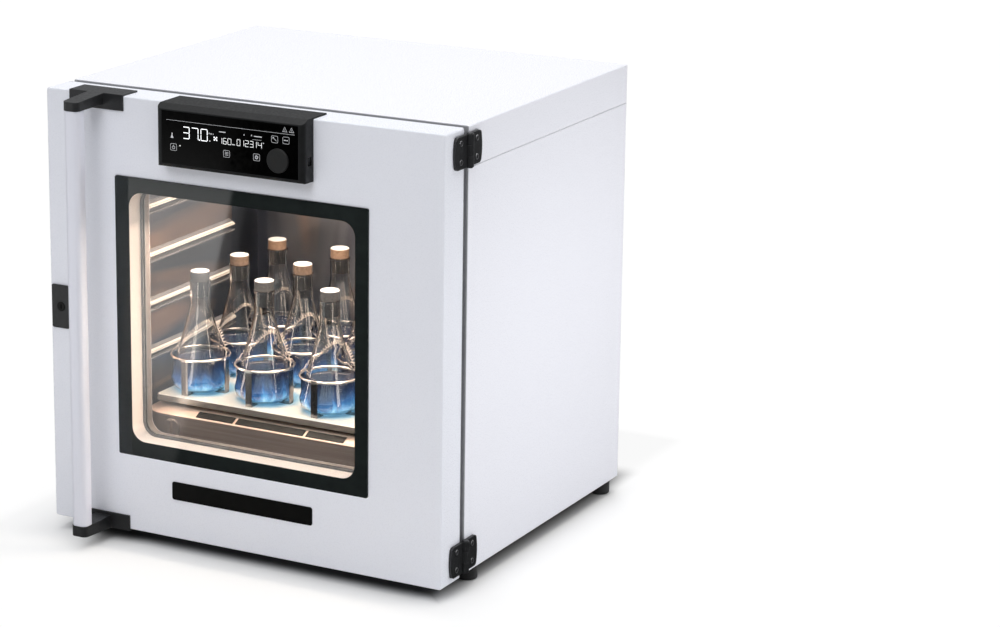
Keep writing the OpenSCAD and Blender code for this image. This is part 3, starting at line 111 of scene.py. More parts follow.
class Tree:
    """A material's node tree with a Principled shader, and short calls to add to it."""

    def __init__(self, name):
        self.mat = bpy.data.materials.new(name)
        self.mat.use_nodes = True
        self.tree = self.mat.node_tree
        self.bsdf = self.tree.nodes["Principled BSDF"]
        self.out = self.tree.nodes["Material Output"]
        self.coord = self.tree.nodes.new("ShaderNodeTexCoord")

    def add(self, kind, **values):
        n = self.tree.nodes.new(kind)
        for k, v in values.items():
            setattr(n, k, v)
        return n

    def link(self, a, b):
        self.tree.links.new(a, b)

    def set(self, **values):
        """Sets plain numbers on the shader's inputs, which are named with _ for a blank."""
        for k, v in values.items():
            self.bsdf.inputs[k.replace("_", " ")].default_value = v

    def place(self, scale=(1, 1, 1)):
        """Object coordinates, stretched along each axis."""
        m = self.add("ShaderNodeMapping")
        m.inputs["Scale"].default_value = scale
        self.link(self.coord.outputs["Object"], m.inputs["Vector"])
        return m.outputs["Vector"]

    def noise(self, scale, detail=3.0, rough=0.55, stretch=(1, 1, 1), distortion=0.0):
        n = self.add("ShaderNodeTexNoise")
        n.inputs["Scale"].default_value = scale
        n.inputs["Detail"].default_value = detail
        n.inputs["Roughness"].default_value = rough
        n.inputs["Distortion"].default_value = distortion
        self.link(self.place(stretch), n.inputs["Vector"])
        return n.outputs["Fac"]

    def ramp(self, value, stops):
        r = self.add("ShaderNodeValToRGB")
        e = r.color_ramp.elements
        while len(e) < len(stops):
            e.new(0.5)
        for el, (pos, col) in zip(e, stops):
            el.position = pos
            el.color = (*col, 1.0)
        self.link(value, r.inputs["Fac"])
        return r.outputs["Color"]

    def span(self, value, lo, hi, a=0.3, b=0.7):
        """Runs from lo to hi as the value goes from a to b."""
        m = self.add("ShaderNodeMapRange")
        m.inputs["From Min"].default_value = a
        m.inputs["From Max"].default_value = b
        m.inputs["To Min"].default_value = lo
        m.inputs["To Max"].default_value = hi
        self.link(value, m.inputs["Value"])
        return m.outputs["Result"]

    def mottle(self, value, dark, light):
        """Colour that wanders between two with a noise value."""
        return self.ramp(value, [(0.3, dark), (0.7, light)])

    def colour(self, base, value, amount):
        """Base colour that wanders a little with a noise value."""
        self.paint(self.ramp(value, shades(base, amount)))

    def paint(self, colour):
        self.link(colour, self.bsdf.inputs["Base Color"])

    def gloss(self, value):
        self.link(value, self.bsdf.inputs["Roughness"])

    def calc(self, operation, *values):
        """Maths node on sockets and plain numbers."""
        m = self.add("ShaderNodeMath", operation=operation)
        for socket, v in zip(m.inputs, values):
            if isinstance(v, (int, float)):
                socket.default_value = v
            else:
                self.link(v, socket)
        return m.outputs[0]

    def fade(self, value, x0, x1, y0, y1):
        """Smooth step from y0 to y1 as the value goes from x0 to x1."""
        m = self.add("ShaderNodeMapRange", interpolation_type="SMOOTHSTEP")
        for k, v in zip(("From Min", "From Max", "To Min", "To Max"), (x0, x1, y0, y1)):
            m.inputs[k].default_value = v
        self.link(value, m.inputs["Value"])
        return m.outputs["Result"]

    def between(self, value, lo, hi):
        """1 where a coordinate lies between lo and hi, else 0."""
        return self.calc("COMPARE", value, (lo + hi) / 2, (hi - lo) / 2)

    def axes(self):
        """Object coordinates, in metres."""
        sep = self.add("ShaderNodeSeparateXYZ")
        self.link(self.coord.outputs["Object"], sep.inputs[0])
        return sep.outputs

    def upward(self):
        """How far the surface faces up, from -1 to 1."""
        geo = self.add("ShaderNodeNewGeometry")
        sep = self.add("ShaderNodeSeparateXYZ")
        self.link(geo.outputs["Normal"], sep.inputs[0])
        return sep.outputs["Z"]

    def blend(self, factor, a, b):
        """Colour a where the factor is 0, b where it is 1. Either may be a plain colour."""
        mix = self.add("ShaderNodeMix", data_type="RGBA")
        self.link(factor, mix.inputs["Factor"])
        for socket, c in ((mix.inputs[6], a), (mix.inputs[7], b)):
            if isinstance(c, tuple):
                socket.default_value = (*c, 1.0)
            else:
                self.link(c, socket)
        return mix.outputs[2]

    def blend_shader(self, factor, a, b):
        """Shader a where the factor is 0, b where it is 1."""
        mix = self.add("ShaderNodeMixShader")
        for socket, source in zip(mix.inputs, (factor, a, b)):
            self.link(source, socket)
        return mix.outputs[0]

    def edges(self, radius):
        """Rounds edges in shading by a radius in metres."""
        b = self.add("ShaderNodeBevel")
        b.samples = 6
        b.inputs["Radius"].default_value = radius
        self.normal = b.outputs["Normal"]
        self.link(self.normal, self.bsdf.inputs["Normal"])

    def bump(self, height, strength, distance):
        b = self.add("ShaderNodeBump")
        b.inputs["Strength"].default_value = strength
        b.inputs["Distance"].default_value = distance
        self.link(height, b.inputs["Height"])
        if hasattr(self, "normal"):
            self.link(self.normal, b.inputs["Normal"])
        self.normal = b.outputs["Normal"]
        self.link(self.normal, self.bsdf.inputs["Normal"])

    def wear(self, base, bright, amount):
        """Lightens the colour at convex edges, where handling polishes a coat."""
        bev = self.add("ShaderNodeBevel")
        bev.samples = 4
        bev.inputs["Radius"].default_value = 0.0012
        geo = self.add("ShaderNodeNewGeometry")
        dot = self.add("ShaderNodeVectorMath", operation="DOT_PRODUCT")
        self.link(bev.outputs["Normal"], dot.inputs[0])
        self.link(geo.outputs["Normal"], dot.inputs[1])
        edge = self.span(dot.outputs["Value"], amount, 0.0, 0.72, 0.98)
        self.paint(self.blend(self.calc("MULTIPLY", edge, self.noise(90, 4)), base, bright))


# Painted shade at the rim of the door's gap and on the strip behind a window's reveal, and the reveal's cream with
# warm light painted in
RIM_SHADE, REVEAL_CREAM_AND_WARM_LIGHT, LIP_SHADE = (0.34, 0.345, 0.365), (0.89, 0.77, 0.69), (0.16, 0.135, 0.125)
# The painted rim shade starts this far to each side, and this far (in mm) below the door's top
RIM_SIDE, RIM_TOP = (0.3555, 0.3575), (13, 11)
PAST = 0.001


def enamel(name, base, rough=0.28, rim=None, lip=None):
    """Stove enamel with faint orange peel.

    Rim is the Y span of a face whose edge is painted darker, as the shade in the gap round the door. Lip is the Y
    span of the strip behind a window's reveal. Both the strip and the reveal get colours of their own: the strip is
    painted dark as shade, and the reveal is cream with the chamber's warm light painted in.
    """
    t = Tree(name)
    t.set(Specular_IOR_Level=0.27)
    t.edges(0.0022)
    coat = t.ramp(t.noise(700, 1), shades(base, 0.003))
    at = t.axes()
    if rim:
        # Painted shade, only where the gap round the door lets the face be seen
        side = t.span(t.calc("ABSOLUTE", at["X"]), 0, 1, *RIM_SIDE)
        top = t.span(at["Z"], 0, 1, *((door_hi.z - down) / 1000 for down in RIM_TOP))
        edge = t.calc("MULTIPLY", t.between(at["Y"], *rim), t.calc("MAXIMUM", side, top))
        dark = t.mottle(t.noise(90, 3), tuple(c * 0.9 for c in RIM_SHADE), RIM_SHADE)
        coat = t.blend(edge, coat, dark)
    if lip:
        lo, hi = (corner / 1000 for corner in lo_hi("outer_glass"))
        opening = t.calc("MULTIPLY", t.between(at["X"], lo.x - PAST, hi.x + PAST),
                         t.between(at["Z"], lo.z - PAST, hi.z + PAST))
        # The reveal is painted cream with the chamber's warm light in it, and the strip behind it painted dark as
        # shade
        for depth, painted_inner in (((lo.y - 0.01, lip[0]), REVEAL_CREAM_AND_WARM_LIGHT), (lip, LIP_SHADE)):
            coat = t.blend(t.calc("MULTIPLY", t.between(at["Y"], *depth), opening), coat, painted_inner)
    t.paint(coat)
    t.gloss(t.span(t.noise(500, 1), rough - 0.015, rough + 0.015))
    t.bump(t.noise(700, 1), 0.012, 0.0001)
    return t.mat


def powder(name, base, rough, grain, wear, depth=0.35, spec=0.5):
    """Powder coat: a fine grain, and edges that are worn paler."""
    t = Tree(name)
    t.set(Specular_IOR_Level=spec)
    t.edges(0.0016)
    dark = tuple(c * 0.82 for c in base)
    light = tuple(min(1, c * 1.2) for c in base)
    t.wear(t.mottle(t.noise(60, 4), dark, light), (0.30, 0.31, 0.32), wear)
    t.gloss(t.span(t.noise(200, 3), rough - 0.08, rough + 0.08))
    t.bump(t.noise(grain, 2), depth, 0.0004)
    return t.mat


def plastic(name, base, rough=0.45, grain=1400, depth=0.2, spec=0.45, edge=0.001):
    """Moulded plastic with a fine grain."""
    t = Tree(name)
    t.set(Specular_IOR_Level=spec)
    t.edges(edge)
    t.colour(base, t.noise(40, 4), 0.12)
    t.gloss(t.span(t.noise(160, 3), rough - 0.06, rough + 0.07))
    t.bump(t.noise(grain, 2), depth, 0.0003)
    return t.mat


def brushed(name, base, rough, along, vary):
    """Metal brushed along one axis: fine lines in colour, gloss and height, and soft smudges."""
    t = Tree(name)
    t.set(Metallic=1.0, Anisotropic=0.3)
    t.edges(0.0008)
    lines = t.noise(1.0, 3, 0.6, along)
    t.colour(base, lines, vary)
    t.gloss(t.calc("ADD", t.span(lines, rough - 0.07, rough + 0.09), t.span(t.noise(14, 4), -0.06, 0.06)))
    t.bump(lines, 0.05, 0.0001)
    return t.mat


def bright(name, base, rough):
    """Bare metal with faint clouds in colour and gloss."""
    t = Tree(name)
    t.set(Metallic=1.0)
    t.edges(0.0005)
    t.colour(base, t.noise(120, 4), 0.05)
    t.gloss(t.span(t.noise(220, 4), rough - 0.05, rough + 0.08))
    t.bump(t.noise(700, 2), 0.05, 0.0002)
    return t.mat


def rubber(name, base, rough=0.7):
    """Matt rubber with a dusty sheen."""
    t = Tree(name)
    t.set(Specular_IOR_Level=0.35, Sheen_Weight=0.15, Sheen_Roughness=0.5)
    t.edges(0.0015)
    t.colour(base, t.noise(50, 4), 0.25)
    t.gloss(t.span(t.noise(120, 3), rough - 0.1, rough + 0.1))
    t.bump(t.noise(600, 3), 0.3, 0.0004)
    return t.mat


def seen_through(t, tint):
    """Lets lamps shine through clear pieces: their shadow is a tint instead of black."""
    clear = t.add("ShaderNodeBsdfTransparent")
    clear.inputs["Color"].default_value = (*tint, 1.0)
    path = t.add("ShaderNodeLightPath")
    t.link(t.blend_shader(path.outputs["Is Shadow Ray"], t.bsdf.outputs[0], clear.outputs[0]), t.out.inputs["Surface"])


def glass(name, base, ior, tint=(0.93, 0.95, 0.96), smear=0.02):
    """Clear glass with faint smears, whose shadow is a tint."""
    t = Tree(name)
    t.set(Transmission_Weight=1.0, IOR=ior)
    t.colour(base, t.noise(9, 3), 0.01)
    t.gloss(t.span(t.noise(24, 4, 0.6, (1, 1, 2.2)), 0.0, smear, 0.5, 0.9))
    seen_through(t, tint)
    return t.mat


def fibre(name, base):
    """Loose mineral fibre."""
    t = Tree(name)
    t.set(Roughness=0.95, Sheen_Weight=0.3)
    t.colour(base, t.noise(90, 6, 0.7), 0.25)
    t.bump(t.noise(260, 6, 0.75), 0.8, 0.002)
    return t.mat


def circuit(name):
    """Solder-masked board with a faint grid of copper lines."""
    t = Tree(name)
    t.set(Specular_IOR_Level=0.5)
    t.edges(0.0004)
    brick = t.add("ShaderNodeTexBrick")
    brick.inputs["Scale"].default_value = 140
    brick.inputs["Color1"].default_value = (0.02, 0.14, 0.06, 1)
    brick.inputs["Color2"].default_value = (0.03, 0.19, 0.08, 1)
    brick.inputs["Mortar"].default_value = (0.05, 0.26, 0.12, 1)
    brick.inputs["Mortar Size"].default_value = 0.05
    t.link(t.place(), brick.inputs["Vector"])
    t.paint(brick.outputs["Color"])
    t.gloss(t.span(t.noise(80, 3), 0.25, 0.45))
    t.bump(brick.outputs["Fac"], 0.2, 0.0002)
    return t.mat


def glow(name, base, strength, spread=0.1):
    """Lit surface whose light varies a little over it."""
    t = Tree(name)
    t.set(Roughness=0.6, Emission_Strength=strength)
    t.colour(base, t.noise(25, 3), spread)
    t.link(t.ramp(t.noise(25, 3), [(0.2, tuple(c * (1 - spread) for c in base)), (0.8, base)]),
           t.bsdf.inputs["Emission Color"])
    return t.mat


def polished(name, dark, base, warm, rough, stretch, shade_from=None):
    """Bright rolled sheet: soft waves, with cool dark clouds, and warm clouds drawn out one way that are painted
    reflections of the warm lamps. From shade_from back it is painted darker as shade.
    """
    t = Tree(name)
    t.set(Metallic=1.0)
    t.edges(0.0008)
    cloud = t.ramp(t.noise(5.0, 2, 0.5, stretch, 0.7), [(0.36, dark), (0.47, base), (0.55, base), (0.66, warm)])
    if shade_from:
        # Painted shade towards the chamber's back
        rear = t.span(t.axes()["Y"], 0, 1, shade_from, shade_from + 0.006)
        cloud = t.blend(rear, cloud, tuple(c * 1.2 for c in dark))
    t.paint(cloud)
    t.gloss(t.span(t.noise(5, 1), rough - 0.02, rough + 0.03))
    t.bump(t.noise(5, 0, 0.4, (1, 0.4, 1)), 0.05, 0.004)
    return t.mat


# Height of the lowest shelf rail, the rails' spacing and the bead's height
RAIL_LOW, RAIL_PITCH, BEAD = 0.2885, 0.0844, 0.009
# Shares of the bead's height: where its face painted as lit ends, and the groove in it
BEAD_LIT_FACE, GROOVE = 0.62, (0.30, 0.37)


def rail_material():
    """Pressed rails: the upper bead's face is painted pale as lit by the lamp, and the lower bead painted dark as
    shaded.
    """
    t = Tree("rail_steel")
    t.set(Metallic=0.25, Specular_IOR_Level=0.6)
    t.edges(0.0004)
    up = t.calc("FLOORED_MODULO", t.calc("SUBTRACT", t.axes()["Z"], RAIL_LOW - 0.0005), RAIL_PITCH)
    face = t.between(up, -PAST, BEAD * BEAD_LIT_FACE)
    back = t.between(up, BEAD * BEAD_LIT_FACE, BEAD + PAST)
    groove = t.between(up, BEAD * GROOVE[0], BEAD * GROOVE[1])
    lines = t.noise(1.0, 3, 0.6, (600, 4, 600))
    pale = t.mottle(lines, (0.86, 0.78, 0.70), (0.96, 0.90, 0.83))
    dark = t.mottle(lines, (0.13, 0.125, 0.13), (0.21, 0.20, 0.205))
    dull = t.mottle(lines, (0.155, 0.15, 0.155), (0.21, 0.20, 0.205))
    # Painted light and shade: pale on the bead's face, dull and dark elsewhere, and a darker line for the groove's
    # shade
    beads = t.blend(back, t.blend(face, dark, pale), dull)
    t.paint(t.blend(groove, beads, (0.42, 0.37, 0.33)))
    t.gloss(t.span(lines, 0.25, 0.38))
    t.bump(lines, 0.04, 0.0001)
    return t.mat


def satin_bar():
    """Anodised bar: a matt pale coat over metal with fine lines along it."""
    t = Tree("satin_bar")
    t.set(Metallic=0.15, Specular_IOR_Level=0.5)
    t.edges(0.002)
    lines = t.noise(1.0, 3, 0.6, (500, 500, 3))
    t.colour((0.83, 0.84, 0.92), lines, 0.012)
    t.gloss(t.span(lines, 0.38, 0.50))
    t.bump(lines, 0.04, 0.0001)
    return t.mat


def housing_material():
    """Shaker housing: satin metal whose sloping rim is painted bright tan as lit by the lamp, and whose sides are
    painted dark brown as shaded.
    """
    t = Tree("housing_grey")
    t.set(Metallic=0.4, Specular_IOR_Level=0.5)
    t.edges(0.003)
    top = lo_hi("shaker_housing")[1].z
    rim = t.span(t.axes()["Z"], 0, 1, (top - 10.5) / 1000, (top - 8.5) / 1000)
    fine = t.noise(1.0, 3, 0.6, (4, 500, 500))
    side = t.mottle(fine, (0.16, 0.125, 0.11), (0.23, 0.185, 0.165))
    lit_slope = t.mottle(fine, (0.68, 0.49, 0.39), (0.80, 0.61, 0.50))
    # Painted light and shade: the sloping rim lit, the sides shaded
    t.paint(t.blend(rim, side, lit_slope))
    t.gloss(t.span(t.noise(40, 3), 0.32, 0.45))
    t.bump(fine, 0.05, 0.0002)
    return t.mat


# The flasks' spacing and widest radius, and how far the patch of light painted by each falls to one side, in mm
FLASK_PITCH, FLASK_R, LIGHT_SHIFT = 126, 50.5, 7


def tray_material():
    """Rolled sheet of the tray, softly shining: painted cream as lit on top, brown as shaded on its rim, and blue
    light painted by the flasks.
    """
    t = Tree("tray_steel")
    t.set(Metallic=0.30, Specular_IOR_Level=0.5)
    t.edges(0.0008)
    top = t.span(t.upward(), 0, 1, 0.3, 0.8)
    lines = t.noise(1.0, 3, 0.6, (5, 600, 600))
    cream = t.mottle(lines, (0.84, 0.78, 0.70), (0.92, 0.87, 0.79))
    brown = t.mottle(lines, (0.17, 0.14, 0.12), (0.22, 0.185, 0.16))
    # Painted light: the blue that light through a flask's water casts beside its foot
    at, first = t.axes(), lo_hi("flasks")[0]
    squares = []
    for axis, low in (("X", first.x), ("Y", first.y)):
        shifted = t.calc("ADD", at[axis], (FLASK_PITCH / 2 - low - FLASK_R - LIGHT_SHIFT) / 1000)
        off = t.calc("SUBTRACT", t.calc("FLOORED_MODULO", shifted, FLASK_PITCH / 1000), FLASK_PITCH / 2000)
        squares.append(t.calc("MULTIPLY", off, off))
    away = t.calc("MULTIPLY_ADD", t.noise(45, 3, 0.6), 0.02, t.calc("SQRT", t.calc("ADD", *squares)))
    blue = t.ramp(t.span(away, 0, 1, 0.052, 0.076), [(0.0, (0.30, 0.55, 0.70)), (1.0, (0.88, 0.825, 0.745))])
    upper = t.blend(t.span(away, 0, 1, 0.058, 0.078), blue, cream)
    # Painted light and shade: the top cream as lit, the rim brown as shaded
    t.paint(t.blend(top, brown, upper))
    t.gloss(t.span(lines, 0.30, 0.40))
    t.bump(lines, 0.04, 0.0001)
    return t.mat


def clamp_material():
    """Clamps: a bright round ring on top of legs painted darker as seen in shade."""
    t = Tree("clamp_steel")
    t.set(Metallic=1.0)
    t.edges(0.0005)
    top = lo_hi("clamps")[1].z
    ring = t.span(t.axes()["Z"], 0, 1, (top - 6) / 1000, (top - 4) / 1000)
    fine = t.noise(1.0, 3, 0.6, (400, 400, 6))
    shaded_leg = t.mottle(fine, (0.19, 0.175, 0.175), (0.30, 0.275, 0.27))
    wire = t.mottle(fine, (0.84, 0.77, 0.72), (0.92, 0.86, 0.81))
    # The legs are painted dark as shade
    t.paint(t.blend(ring, shaded_leg, wire))
    t.gloss(t.span(t.noise(220, 4), 0.12, 0.24))
    t.bump(t.noise(700, 2), 0.05, 0.0002)
    return t.mat


def spring_wire():
    """Thin bright wire of the flasks' retaining springs."""
    t = Tree("spring_wire")
    t.set(Metallic=0.15, Specular_IOR_Level=0.9)
    t.colour((0.95, 0.80, 0.68), t.noise(300, 3), 0.04)
    t.gloss(t.span(t.noise(200, 3), 0.15, 0.3))
    return t.mat


def liquid_material():
    """Blue water that glows with painted light: nearly black under its surface, painted bright and greener low down as
    if lit from the tray below.
    """
    t = Tree("blue_water")
    t.set(Transmission_Weight=0.5, IOR=1.33, Roughness=0.05, Emission_Strength=0.44)
    lo, hi = lo_hi("flask_liquid")
    height = t.span(t.axes()["Z"], 0, 1, lo.z / 1000, hi.z / 1000)
    streak = t.noise(30, 3, 0.55, (1, 1, 0.12), 0.8)
    level = t.calc("MULTIPLY_ADD", streak, 0.95, t.calc("MULTIPLY_ADD", height, 0.667, -0.17))
    body = t.ramp(level, [(0.30, (0.42, 0.78, 0.94)), (0.42, (0.13, 0.38, 0.66)), (0.54, (0.050, 0.13, 0.30)),
                          (0.70, (0.030, 0.045, 0.10)), (0.88, (0.021, 0.024, 0.040))])
    # Painted light: the water glows in its own colour, brightest low down and in streaks
    t.paint(body)
    t.link(body, t.bsdf.inputs["Emission Color"])
    seen_through(t, (0.66, 0.76, 0.88))
    return t.mat


def stopper_material():
    """Pressed foam: the top painted pale as lit, and the side dark grey as shaded, with warm light painted on it as
    brown above the neck and towards the back.
    """
    t = Tree("stopper_foam")
    t.set(Roughness=0.9, Specular_IOR_Level=0.25)
    top = t.span(t.upward(), 0, 1, 0.4, 0.9)
    lo, hi = lo_hi("stoppers")
    at = t.axes()
    above = t.span(at["Z"], 0, 1, (hi.z - 19) / 1000, (hi.z - 15) / 1000)
    behind = t.span(at["Y"], 0.0, 1, (lo.y + 25) / 1000, (hi.y - 90) / 1000)
    grain = t.noise(260, 5, 0.7)
    grey = t.mottle(grain, (0.026, 0.027, 0.030), (0.062, 0.061, 0.064))
    brown = t.mottle(grain, (0.14, 0.085, 0.055), (0.27, 0.175, 0.12))
    # Painted light and shade: warm light on the side above the neck and towards the back, and the top pale as lit
    side = t.blend(t.calc("MULTIPLY", above, behind), grey, brown)
    t.paint(t.blend(top, side, (0.66, 0.65, 0.645)))
    t.bump(t.noise(700, 5, 0.7), 0.5, 0.0008)
    return t.mat


# Colours are base colours, then the finish's own values as its function names them
FINISHES = {
    # The cabinet's rim is painted dark as the shade in the gap round the door
    "white": enamel("cabinet_enamel", (0.855, 0.86, 0.915), 0.28, (front_y - 0.001, front_y + 0.0012)),
    "door": enamel("door_enamel", (0.83, 0.845, 0.905)),
    "zinc": brushed("zinc_sheet", (0.60, 0.61, 0.62), 0.42, (40, 60, 60), 0.12),
    "steel_y": polished("liner_steel", (0.16, 0.17, 0.20), (0.24, 0.25, 0.28), (0.62, 0.44, 0.34), 0.30,
                        (1, 0.30, 1.8), 0.125),
    "steel_x": polished("baffle_steel", (0.15, 0.16, 0.19), (0.21, 0.222, 0.25), (0.32, 0.27, 0.25), 0.34,
                        (1.8, 1, 0.35)),
    "rail": rail_material(),
    "runner": brushed("runner_steel", (0.50, 0.46, 0.43), 0.32, (500, 3, 500), 0.05),
    "bright": bright("bright_steel", (0.88, 0.88, 0.89), 0.25),
    "ring": bright("screw_ring", (0.52, 0.52, 0.54), 0.42),
    "wool": fibre("mineral_wool", (0.72, 0.66, 0.42)),
    "heater": bright("heater_sheath", (0.22, 0.19, 0.17), 0.5),
    "motor": powder("motor_casting", (0.16, 0.165, 0.17), 0.45, 700, 0.5),
    "lamp": glow("lamp_diffuser", (1.0, 0.84, 0.64), 2.5),
    "gasket": rubber("gasket_rubber", (0.022, 0.022, 0.024)),
    "foot": rubber("foot_rubber", (0.030, 0.030, 0.031)),
    "black": plastic("black_plastic", (0.030, 0.031, 0.033)),
    "coat": powder("charcoal_coat", (0.016, 0.0168, 0.018), 0.42, 900, 0.1),
    "board": circuit("circuit_board"),
    # The lining's rim is painted dark as the shade in the door's gap, its reveal cream with warm light painted in, and
    # the strip behind painted as shade
    "lining": enamel("door_lining", (0.84, 0.85, 0.90), 0.35, (back_y - 0.0012, back_y + 0.0002),
                     (lo_hi("inner_glass")[0].y / 1000, back_y - 0.0005)),
    "pane": glass("window_pane", (0.97, 0.985, 0.98), 1.5),
    "inner_pane": glass("inner_pane", (0.97, 0.985, 0.98), 1.15),
    "border": plastic("border_enamel", (0.052, 0.062, 0.059), 0.12, 300, 0.0, 1.0),
    "seal": rubber("seal_rubber", (0.13, 0.122, 0.12), 0.6),
    "satin": satin_bar(),
    "plate": powder("black_plate", (0.0045, 0.0045, 0.004), 0.40, 1600, 0.04, 0.15, 0.2),
    "control": powder("control_box", (0.0095, 0.010, 0.0105), 0.48, 1500, 0.06, 0.12, 0.24),
    "screen": plastic("screen_glass", (0.0005, 0.0005, 0.0005), 0.08, 500, 0.0, 0.13),
    "knob": plastic("knob_face", (0.014, 0.0145, 0.0145), 0.40, 2200, 0.1, 0.35, 0.0012),
    "housing": housing_material(),
    "label": plastic("label_plate", (0.010, 0.010, 0.010), 0.4, 1600, 0.1, 0.2),
    "belt": rubber("belt_rubber", (0.025, 0.025, 0.026)),
    "cast": bright("machined_aluminium", (0.62, 0.63, 0.64), 0.38),
    "tray": tray_material(),
    "clamp": clamp_material(),
    "spring": spring_wire(),
    "flask": glass("flask_glass", (0.985, 0.99, 0.995), 1.47, (0.96, 0.98, 1.0), 0.01),
    "water": liquid_material(),
    "stopper": stopper_material(),
}

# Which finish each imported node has
finish_of = {
    "base_pan": "zinc", "left_side_panel": "white", "right_side_panel": "white", "front_frame": "white",
    "top_cover": "white", "rear_panel": "white", "chamber_liner": "steel_y", "insulation": "wool",
    "shelf_rails": "rail", "rear_baffle": "steel_x", "fan_motor": "motor", "heater_ring": "heater",
    "chamber_lamp": "lamp", "door_gasket": "gasket", "door_catches": "black", "hinge_leaves_body": "coat",
    "hinge_pins": "coat", "cabinet_screws": "bright", "side_plugs": "black", "feet": "foot",
    "mains_inlet": "black", "power_unit": "board", "shaker_runners": "runner", "fan_impeller": "cast",
    "door_shell": "door", "door_liner": "lining", "outer_glass": "pane", "glass_border": "border",
    "inner_glass": "inner_pane", "glazing_seal": "seal", "handle_bar": "satin", "handle_brackets": "coat",
    "hinge_leaves_door": "coat", "door_screws": "bright", "lock_plate": "coat", "nameplate": "plate",
    "control_housing": "control", "control_glass": "screen", "control_board": "board",
    "lock_barrel": "plate", "knob_shaft": "bright", "control_knob": "knob", "shaker_base": "cast",
    "shaker_housing": "housing", "shaker_labels": "label", "drive_motor": "motor", "drive_belt": "belt",
    "latch_knob": "housing", "motor_pulley": "cast", "drive_crank": "cast", "idler_crank_left": "cast",
    "idler_crank_right": "cast", "idler_crank_rear": "cast", "platform_carrier": "cast", "tray": "tray",
    "clamps": "clamp", "clamp_springs": "spring", "flasks": "flask", "flask_liquid": "water",
    "stoppers": "stopper",
}
# Nodes shaded as smooth surfaces
SMOOTH = ("flasks", "flask_liquid", "stoppers", "clamp_springs", "clamps")
for name, node in nodes.items():
    node.data.materials.clear()
    node.data.materials.append(FINISHES[finish_of[name]])
    for p in node.data.polygons:
        p.material_index = 0
    if name in SMOOTH:
        for p in node.data.polygons:
            p.use_smooth = True


# Pieces drawn as meshes

def piece(name, bm, material, body):
    """Makes an object of a drawn mesh and lets it ride on a body."""
    me = bpy.data.meshes.new(name)
    bm.to_mesh(me)
    bm.free()
    ob = bpy.data.objects.new(name, me)
    bpy.context.scene.collection.objects.link(ob)
    me.materials.append(material)
    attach(ob, body)
    return ob


def arc_points(cx, cz, r, a0, a1, n):
    """Points (x, z) of an arc from one angle to another, in degrees."""
    return [(cx + r * math.cos(math.radians(a0 + (a1 - a0) * i / n)),
             cz + r * math.sin(math.radians(a0 + (a1 - a0) * i / n))) for i in range(n + 1)]


def round_box(cx, cz, w, h, r, n=5):
    """Outline of a rectangle with round corners, counter-clockwise from its right side."""
    x, z = w / 2 - r, h / 2 - r
    return (arc_points(cx + x, cz + z, r, 0, 90, n) + arc_points(cx - x, cz + z, r, 90, 180, n)
            + arc_points(cx - x, cz - z, r, 180, 270, n) + arc_points(cx + x, cz - z, r, 270, 360, n))


# Display of the control panel: plain numbers and generic signs, printed or lit behind the glass

lit = glow("display_light", (0.96, 0.98, 1.0), 0.92, 0.04)
dim = glow("sign_light", (0.62, 0.63, 0.65), 0.17, 0.05)
ink_front, ink_back = screen_y - 0.12, screen_y - 0.02
# Bars of each seven-bar figure
SEG = {"0": "abcdef", "1": "bc", "2": "abged", "3": "abgcd", "4": "fgbc", "5": "afgcd", "6": "afgedc",
       "7": "abc", "8": "abcdefg", "9": "abcdfg"}


def ink(bm, outline, holes=()):
    """Thin plate facing front, from outline points (x, z), with holes as lists of points."""
    edges = []
    for points in (outline, *holes):
        vs = [bm.verts.new(mm(x, ink_front, z)) for x, z in points]
        edges += [bm.edges.new((vs[i], vs[(i + 1) % len(vs)])) for i in range(len(vs))]
    made = bmesh.ops.triangle_fill(bm, use_beauty=True, edges=edges)
    faces = [f for f in made["geom"] if isinstance(f, bmesh.types.BMFace)]
    raised = bmesh.ops.extrude_face_region(bm, geom=faces)
    vs = [v for v in raised["geom"] if isinstance(v, bmesh.types.BMVert)]
    bmesh.ops.translate(bm, verts=vs, vec=mm(0, ink_back - ink_front, 0))
    bmesh.ops.recalc_face_normals(bm, faces=bm.faces)


def bar(bm, x, z, w, h):
    ink(bm, [(x, z), (x + w, z), (x + w, z + h), (x, z + h)])


def figure(bm, ch, x0, x1, z, h, t):
    """One seven-bar figure between x0 and x1, h high from z up, with bars t thick."""
    s = t / 2
    g = t * 0.22
    left, right, low, mid, high = x0 + s, x1 - s, z + s, z + h / 2, z + h - s
    bars = {
        "a": ((left, high), (right, high)), "g": ((left, mid), (right, mid)), "d": ((left, low), (right, low)),
        "f": ((left, mid), (left, high)), "b": ((right, mid), (right, high)),
        "e": ((left, low), (left, mid)), "c": ((right, low), (right, mid)),
    }
    for k in SEG[ch]:
        (xa, za), (xb, zb) = bars[k]
        if za == zb:
            ink(bm, [(xa + g, za), (xa + g + s, za + s), (xb - g - s, za + s), (xb - g, za), (xb - g - s, za - s),
                     (xa + g + s, za - s)])
        else:
            ink(bm, [(xa, za + g), (xa + s, za + g + s), (xa + s, zb - g - s), (xa, zb - g), (xa - s, zb - g - s),
                     (xa - s, za + g + s)])


